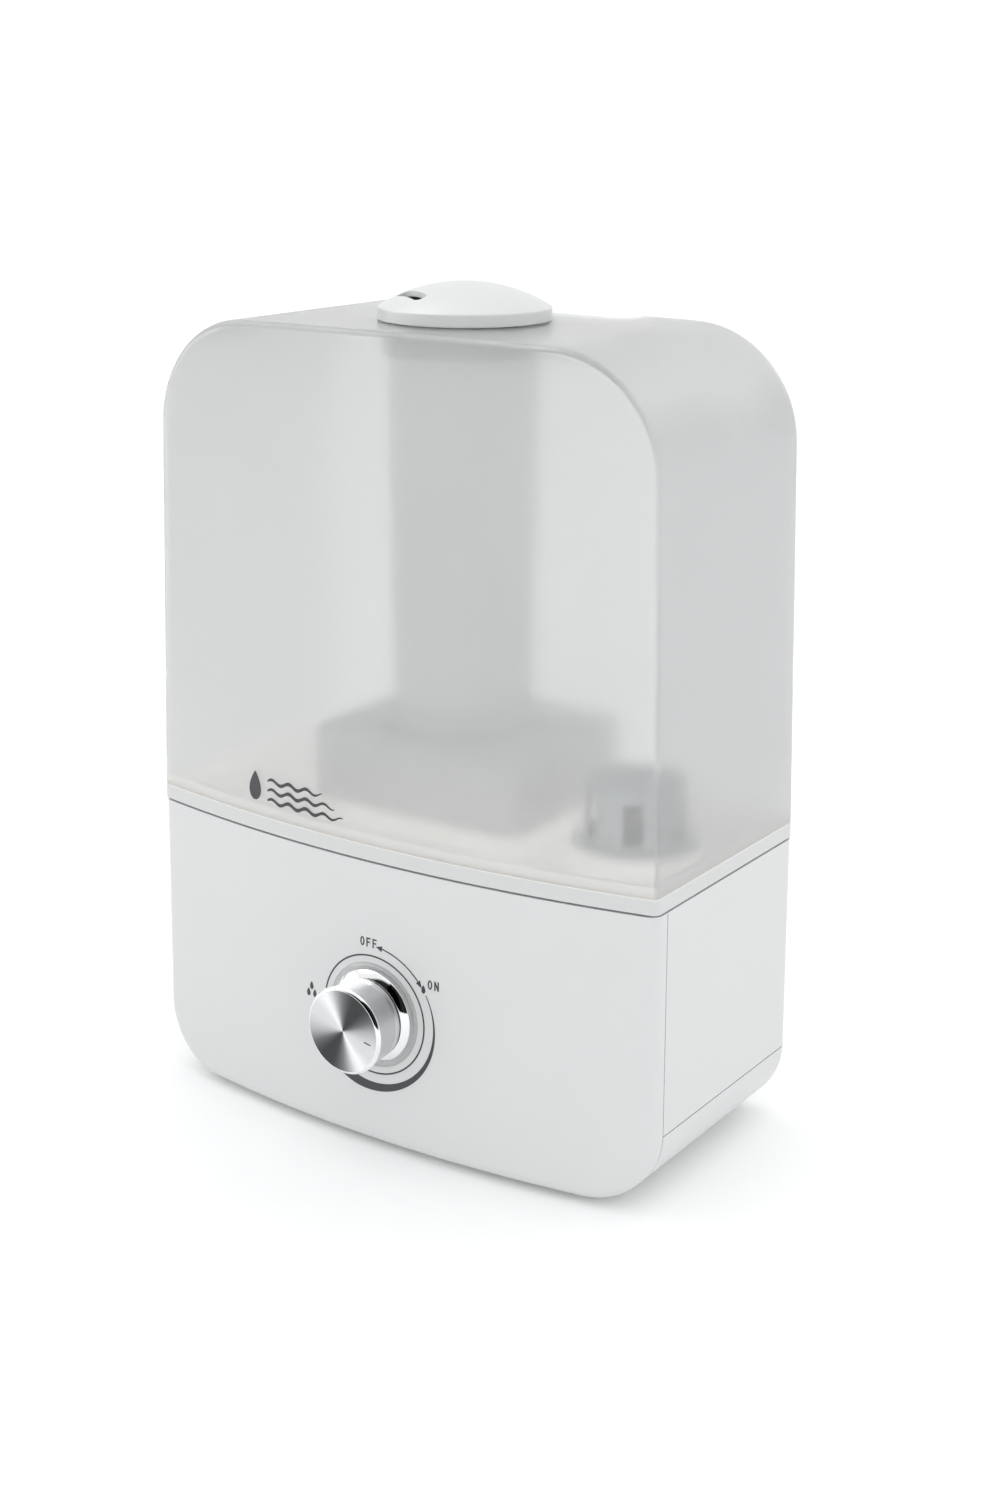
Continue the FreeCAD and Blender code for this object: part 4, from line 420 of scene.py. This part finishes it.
def arrow(centre, radius, degrees, way, size):
    """A filled arrowhead on a circle, pointing along it."""
    tip = clock(centre, radius, degrees + way * math.degrees(size / radius))
    base_in = clock(centre, radius - size * 0.42, degrees)
    base_out = clock(centre, radius + size * 0.42, degrees)
    near = (tip[0] + (base_in[0] - tip[0]) * 0.03, tip[1] + (base_in[1] - tip[1]) * 0.03)
    return [base_in, near], [base_out, tip]


INK = moulded("print_ink", (0.045, 0.047, 0.05), 0.5, grain=3000, mottle=0.12)

shaft_low, shaft_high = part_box("dial_shaft")
dial_z = (shaft_low.z + shaft_high.z) / 2
panel = Skin("front_panel")


def on_dial(points):
    return [(x * MM, dial_z + z * MM) for x, z in points]


def in_metres(strip):
    return on_dial(strip[0]), on_dial(strip[1])


def letters(text, x, z, height, gap=0.24):
    """Plain stroke capitals of O, F and N, as strips in millimetres about the dial's centre."""
    wide = height * 0.55
    ink = height * 0.16
    strips = []
    for letter in text:
        if letter == "O":
            left, right = [], []
            for step in range(25):
                angle = 2 * math.pi * step / 24
                c, s = math.cos(angle), math.sin(angle)
                left.append((x + wide / 2 + (wide / 2 - ink) * c, z + height / 2 + (height / 2 - ink) * s))
                right.append((x + wide / 2 + wide / 2 * c, z + height / 2 + height / 2 * s))
            strips.append((left, right))
        if letter == "F":
            strips.append(bar((x + ink / 2, z), (x + ink / 2, z + height), ink))
            strips.append(bar((x + ink, z + height - ink / 2), (x + wide * 0.95, z + height - ink / 2), ink))
            strips.append(bar((x + ink, z + height * 0.52), (x + wide * 0.85, z + height * 0.52), ink))
        if letter == "N":
            strips.append(bar((x + ink / 2, z), (x + ink / 2, z + height), ink))
            strips.append(bar((x + wide - ink / 2, z), (x + wide - ink / 2, z + height), ink))
            top, foot = (x + ink * 0.6, z + height - ink * 0.4), (x + wide - ink * 0.6, z + ink * 0.4)
            strips.append(bar(top, foot, ink))
        x += wide + height * gap
    return strips


def dial_print():
    """The printed scale round the knob, in millimetres and clock degrees about its centre."""
    centre = (0.0, 0.0)
    arrows = 26.2           # radius of the arrowheads
    ring = arc(centre, -85, 197, 22.0, 22.6, 120)
    double = arc(centre, 9, 49, 25.95, 26.45, 40)

    def thickening(share):
        return 26.5 + 3.3 * min(1.0, share * 1.5) ** 1.3 - 0.4 * max(0, share - 0.8)

    sweep = arc(centre, 61, 262, lambda share: 26.2 - 0.2 * share, thickening, 140)
    strips = [ring, double, sweep]
    strips.append(arrow(centre, arrows, 9, -1, 2.7))
    strips.append(arrow(centre, arrows, 49, 1, 2.7))
    strips.append(drop(clock(centre, 26.3, 57), 2.1))
    strips += letters("OFF", -5.6, 25.4, 3.5)
    strips += letters("ON", 23.9, 15.4, 3.5)
    for x, z, size in ((-28.9, 3.4, 2.1), (-30.4, 0.6, 2.1), (-27.4, 0.6, 2.1)):
        strips.append(drop((x, z), size))
    printed("dial_print", [in_metres(strip) for strip in strips], panel, "base")


dial_print()


def tank_mark():
    """A generic water mark: a drop and three waves."""
    tank = Skin("tank_shell")
    left_edge = -61.0 * MM
    low = 121.5 * MM
    strips = [drop((left_edge + 4 * MM, low + 3.6 * MM), 7.4 * MM)]
    for row, length in enumerate((37.0, 33.0, 27.0)):
        base = low + (1.0 + 3.7 * row) * MM
        lower, upper = [], []
        steps = 72
        for step in range(steps + 1):
            share = step / steps
            x = left_edge + (10.5 + length * share) * MM
            wave = 0.75 * math.sin(share * length / 8.5 * 2 * math.pi) * MM
            half = 0.65 * MM * math.sin(math.pi * min(1.0, 0.12 + share * 0.88)) ** 0.5 + 0.05 * MM
            lower.append((x, base + wave - half))
            upper.append((x, base + wave + half))
        strips.append((lower, upper))
    printed("tank_mark", strips, tank, "tank")


tank_mark()


# ---------------------------------------------------------------- knob

def spun_face_painted_reflection():
    """Turned metal, with two dark and two light sectors of reflection painted into its colour by the angle
    round the dial's axis.
    """
    paint = satin("knob_face_painted_reflection", (0.44, 0.45, 0.46), 0.42)
    turn = paint.maths("ARCTAN2", paint.axis("X"), paint.maths("SUBTRACT", paint.axis("Z"), dial_z))
    twice = paint.maths("MULTIPLY", paint.maths("SUBTRACT", turn, math.radians(30)), 2.0)
    painted_reflection_angle = paint.span(paint.maths("COSINE", twice, 0.0), 0.0, 1.0, -1.0, 1.0)
    # Painted highlight, then painted dark reflection, as colour stops over that angle.
    bright = ((0.05, (0.80, 0.81, 0.82)), (0.45, (0.52, 0.53, 0.54)))
    dark = ((0.72, (0.24, 0.245, 0.25)), (0.97, (0.11, 0.112, 0.115)))
    paint.set("Base Color", paint.ramp(painted_reflection_angle, *bright, *dark))
    return paint


def knob():
    """The knob's metal shell, waisted behind its polished edge, and the mark on its face."""
    low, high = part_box("knob_shell")
    centre = Vector((0, high.y, dial_z))
    reach = (high.y - low.y) / MM
    full = (high.x - low.x) / 2 / MM
    SIDE, EDGE, FACE = 0, 1, 2
    waist = ((-2.4, 0.0), (-1.75, 0.0), (-1.45, 0.1), (-1.3, 0.4), (-1.3, 1.5), (-1.42, 1.72), (-1.7, 1.95))
    waist += ((-1.75, 2.3), (-1.7, 2.65), (-1.45, 2.95), (-1.25, 3.25))
    outline = [(full + inward, height, SIDE) for inward, height in waist]
    flare = 10
    for step in range(flare + 1):
        share = step / flare
        outline.append((full - 1.18 + 0.62 * share ** 1.4, 3.5 + (reach - 6.5) * share, SIDE))
    shoulder = ((0.38, 2.5, SIDE), (0.16, 2.0, SIDE), (0.04, 1.6, SIDE), (0.02, 1.4, EDGE), (0, 1.25, EDGE))
    bevel = ((0.06, 1.0, EDGE), (1.0, 0.06, EDGE), (1.14, 0.02, EDGE), (1.25, 0.02, FACE))
    outline += [(full - inward, reach - back_off, paint) for inward, back_off, paint in shoulder + bevel]
    outline += [(radius, reach - 0.06, FACE) for radius in (11.0, 7.0, 3.5, 1.2, 0.0)]
    outline += [(0.0, reach - 1.0, SIDE), (full - 2.4, reach - 1.0, SIDE)]
    profile = [(radius * MM, height * MM, paint) for radius, height, paint in outline]
    mesh_data = lathe("knob_metal", profile, centre)
    mesh_data.materials.append(satin("knob_side", (0.72, 0.73, 0.74), 0.4).material)
    mesh_data.materials.append(PAINTS["chrome_trim"].material)
    mesh_data.materials.append(spun_face_painted_reflection().material)
    metal_knob = piece("knob_metal", mesh_data, "dial", None)
    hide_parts("knob_shell")

    pointer = bmesh.new()
    angle = math.radians(100)
    radial = Vector((math.sin(angle), 0, math.cos(angle)))
    across = Vector((radial.z, 0, -radial.x))
    face_y = low.y
    corners = []
    for out, side in ((9.8, -0.25), (12.4, -0.25), (12.7, 0), (12.4, 0.25), (9.8, 0.25), (9.5, 0)):
        corners.append(Vector((0, 0, dial_z)) + radial * out * MM + across * side * MM)
    top = [pointer.verts.new(Vector((c.x, face_y + 0.012 * MM, c.z))) for c in corners]
    bottom = [pointer.verts.new(Vector((c.x, face_y + 0.3 * MM, c.z))) for c in corners]
    pointer.faces.new(top)
    pointer.faces.new(tuple(reversed(bottom)))
    for index in range(len(corners)):
        after = (index + 1) % len(corners)
        pointer.faces.new((top[index], bottom[index], bottom[after], top[after]))
    mark = finished(pointer, "knob_pointer")
    piece("knob_pointer", mark, "dial", INK.material, smooth=False)


knob()


def trim_ring():
    """The chrome ring behind the knob, bevelled towards its outside."""
    low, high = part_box("dial_trim_ring")
    full = (high.x - low.x) / 2 / MM
    reach = (high.y - low.y) / MM
    outline = [(full - 3.9, 0.0), (full - 0.05, 0.0), (full, 0.1)]
    bevel = ((0, 2.1), (0.05, 1.9), (0.2, 1.7), (2.1, 0.22), (2.35, 0.08), (2.6, 0), (2.9, 0.06))
    outline += [(full - inward, reach - back_off) for inward, back_off in bevel]
    for step in range(7):
        turn = math.radians(90 * step / 6)
        outline.append((full - 3.2 - 0.7 * math.sin(turn), reach - 0.8 + 0.66 * math.cos(turn)))
    profile = [(radius * MM, height * MM, 0) for radius, height in outline]
    mesh_data = lathe("trim_ring", profile, Vector((0, high.y, dial_z)), 256)
    ring = piece("trim_ring", mesh_data, "base", PAINTS["chrome_trim"].material)
    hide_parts("dial_trim_ring")


trim_ring()


def dial_dish():
    """The smooth dish between the panel and the chrome ring."""
    ring_low, ring_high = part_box("dial_trim_ring")
    inner = (ring_high.x - ring_low.x) / 2 + 0.1 * MM
    outer = 19.7 * MM
    floor = panel.depth(inner * 1.03, dial_z)
    segments, steps = 160, 10
    builder = bmesh.new()
    rings = []
    for step in range(steps + 1):
        share = step / steps
        radius = inner + (outer - inner) * share
        ring = []
        for index in range(segments):
            angle = 2 * math.pi * index / segments
            x, z = radius * math.cos(angle), dial_z + radius * math.sin(angle)
            rim = (outer + 0.15 * MM) / radius
            surface = panel.depth(x * rim, dial_z + (z - dial_z) * rim)
            rise = share ** 2.2
            ring.append(builder.verts.new((x, floor + (surface - floor) * rise - 0.01 * MM, z)))
        rings.append(ring)
    for radius in (outer, inner):
        ring = []
        for index in range(segments):
            angle = 2 * math.pi * index / segments
            x, z = radius * math.cos(angle), dial_z + radius * math.sin(angle)
            ring.append(builder.verts.new((x, floor + 0.3 * MM, z)))
        rings.append(ring)
    for index, ring in enumerate(rings):
        other = rings[(index + 1) % len(rings)]
        for step in range(segments):
            after = (step + 1) % segments
            builder.faces.new((ring[step], ring[after], other[after], other[step]))
    gloss = dict(mottle=0.008, Coat_Weight=0.15, Coat_Roughness=0.2)
    # The dish is painted a darker white than the panel: painted shade in the recess round the chrome ring.
    dish_painted_shade = moulded("dish_painted_shade", tint(WHITE, 0.78), 0.3, **gloss)
    piece("dial_dish", finished(builder, "dial_dish"), "base", dish_painted_shade.material)


dial_dish()


def valve_spring():
    """The valve's spring, as its own copy of the wire mesh, riding the fill cap."""
    wire = frame["nodes"]["valve_spring"].data.copy()
    coil = piece("spring_wire", wire, "fill_cap", None)
    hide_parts("valve_spring")
    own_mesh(coil)


valve_spring()


# ---------------------------------------------------------------- studio

def studio():
    """White paper floor, and an even white world whose flags and soft boxes only glossy surfaces see."""
    builder = bmesh.new()
    bmesh.ops.create_grid(builder, x_segments=8, y_segments=8, size=FLOOR_SIZE)
    mesh_data = bpy.data.meshes.new("floor")
    builder.to_mesh(mesh_data)
    builder.free()
    floor = bpy.data.objects.new("floor", mesh_data)
    bpy.context.scene.collection.objects.link(floor)
    paint = Paint("floor_paper", Roughness=0.9, Emission_Color=(1, 1, 1, 1), Emission_Strength=0.06)
    grain = paint.noise(60, 4.0)
    paint.set("Base Color", paint.ramp(grain, (0.3, (0.962, 0.962, 0.962)), (0.7, (0.972, 0.972, 0.972))))
    mesh_data.materials.append(paint.material)

    world = bpy.data.worlds.new("studio")
    bpy.context.scene.world = world
    world.use_nodes = True
    world.cycles.sampling_method = "NONE"
    nodes, links = world.node_tree.nodes, world.node_tree.links
    for node in list(nodes):
        nodes.remove(node)
    out = nodes.new("ShaderNodeOutputWorld")
    even = nodes.new("ShaderNodeBackground")
    even.inputs["Color"].default_value = (0.985, 0.992, 1.0, 1.0)
    even.inputs["Strength"].default_value = WORLD_STRENGTH
    seen = nodes.new("ShaderNodeBackground")
    seen.inputs["Strength"].default_value = 1.0
    direction = nodes.new("ShaderNodeTexCoord").outputs["Generated"]

    def maths(operation, first, second):
        node = nodes.new("ShaderNodeMath")
        node.operation = operation
        links.new(first, node.inputs[0])
        links.new(second, node.inputs[1])
        return node.outputs["Value"]

    def cone(aim, inside, outside, clear, full):
        """Goes softly from clear to full inside a cone of directions."""
        dot = nodes.new("ShaderNodeVectorMath")
        dot.operation = "DOT_PRODUCT"
        dot.inputs[1].default_value = Vector(aim).normalized()
        links.new(direction, dot.inputs[0])
        soft = nodes.new("ShaderNodeMapRange")
        soft.interpolation_type = "SMOOTHSTEP"
        soft.inputs["From Min"].default_value = math.cos(math.radians(outside))
        soft.inputs["From Max"].default_value = math.cos(math.radians(inside))
        soft.inputs["To Min"].default_value = clear
        soft.inputs["To Max"].default_value = full
        links.new(dot.outputs["Value"], soft.inputs["Value"])
        return soft.outputs["Result"]

    shades = [cone(aim, inside, outside, 1.0, 0.02) for aim, inside, outside in DARK_PATCHES]
    shade = shades[0]
    for other in shades[1:]:
        shade = maths("MULTIPLY", shade, other)
    for aim, inside, outside, strength in BRIGHT_PATCHES:
        shade = maths("ADD", shade, cone(aim, inside, outside, 0.0, strength))
    links.new(shade, seen.inputs["Color"])
    mix = nodes.new("ShaderNodeMixShader")
    rays = nodes.new("ShaderNodeLightPath")
    links.new(rays.outputs["Is Glossy Ray"], mix.inputs["Fac"])
    links.new(even.outputs["Background"], mix.inputs[1])
    links.new(seen.outputs["Background"], mix.inputs[2])
    through = nodes.new("ShaderNodeBackground")
    through.inputs["Color"].default_value = (0.995, 1.0, 1.0, 1.0)
    scattered = nodes.new("ShaderNodeMapRange")
    scattered.inputs["To Min"].default_value = THROUGH_STRENGTH
    scattered.inputs["To Max"].default_value = INSIDE_STRENGTH
    links.new(rays.outputs["Diffuse Depth"], scattered.inputs["Value"])
    links.new(scattered.outputs["Result"], through.inputs["Strength"])
    seen_through = nodes.new("ShaderNodeMixShader")
    links.new(rays.outputs["Is Transmission Ray"], seen_through.inputs["Fac"])
    links.new(mix.outputs["Shader"], seen_through.inputs[1])
    links.new(through.outputs["Background"], seen_through.inputs[2])
    links.new(seen_through.outputs["Shader"], out.inputs["Surface"])


FLOOR_SIZE = 40.0
WORLD_STRENGTH = 1.05
# The same studio as it shows through the frosted walls, and as it lights what lies behind them.
THROUGH_STRENGTH = 0.16
INSIDE_STRENGTH = 1.08
# Directions of the dark flags that glossy surfaces see: aim, fully dark within, clear beyond, in degrees.
DARK_PATCHES = (
    ((0.62, -0.69, 0.38), 32, 38),
    ((-0.02, -0.97, 0.24), 30, 38),
    ((-0.97, 0.20, -0.10), 12, 20),
)
# Directions of the soft boxes that glossy surfaces see: aim, fully bright within, clear beyond, strength.
BRIGHT_PATCHES = (
    ((-0.60, -0.10, 0.79), 16, 26, 3.5),
    ((-0.93, -0.36, -0.02), 14, 26, 5.0),
)


def light(name, place, aim, size, power):
    data = bpy.data.lights.new(name, "AREA")
    data.shape = "RECTANGLE"
    data.size, data.size_y = size
    data.energy = power
    lamp = bpy.data.objects.new(name, data)
    bpy.context.scene.collection.objects.link(lamp)
    lamp.location = place
    lamp.rotation_mode = "QUATERNION"
    lamp.rotation_quaternion = (Vector(aim) - Vector(place)).to_track_quat("-Z", "Y")


studio()
light("overhead", (0.0, 0.1, 1.6), (0, 0, 0.1), (1.6, 1.2), 3.0)

CAMERA_PLACE = (0.45705, -0.64341, 0.38432)
CAMERA_AZIMUTH = 34.08      # degrees to the right of straight in front
CAMERA_DROP = 11.45         # degrees that it looks down
CAMERA_ROLL = 0.34
CAMERA_LENS = 53.30
CAMERA_SHIFT = -0.15


def camera():
    data = bpy.data.cameras.new("camera")
    data.lens = CAMERA_LENS
    data.sensor_width = 36
    data.sensor_fit = "AUTO"
    data.shift_y = CAMERA_SHIFT
    data.clip_start = 0.01
    data.clip_end = 50
    eye = bpy.data.objects.new("camera", data)
    bpy.context.scene.collection.objects.link(eye)
    azimuth, fall = math.radians(CAMERA_AZIMUTH), math.radians(CAMERA_DROP)
    level = math.cos(fall)
    back = Vector((math.sin(azimuth) * level, -math.cos(azimuth) * level, math.sin(fall)))
    roll = Quaternion((0, 0, 1), math.radians(CAMERA_ROLL))
    eye.rotation_mode = "QUATERNION"
    eye.rotation_quaternion = (-back).to_track_quat("-Z", "Y") @ roll
    eye.location = CAMERA_PLACE
    bpy.context.scene.camera = eye


camera()
bpy.context.scene.view_settings.view_transform = "Standard"
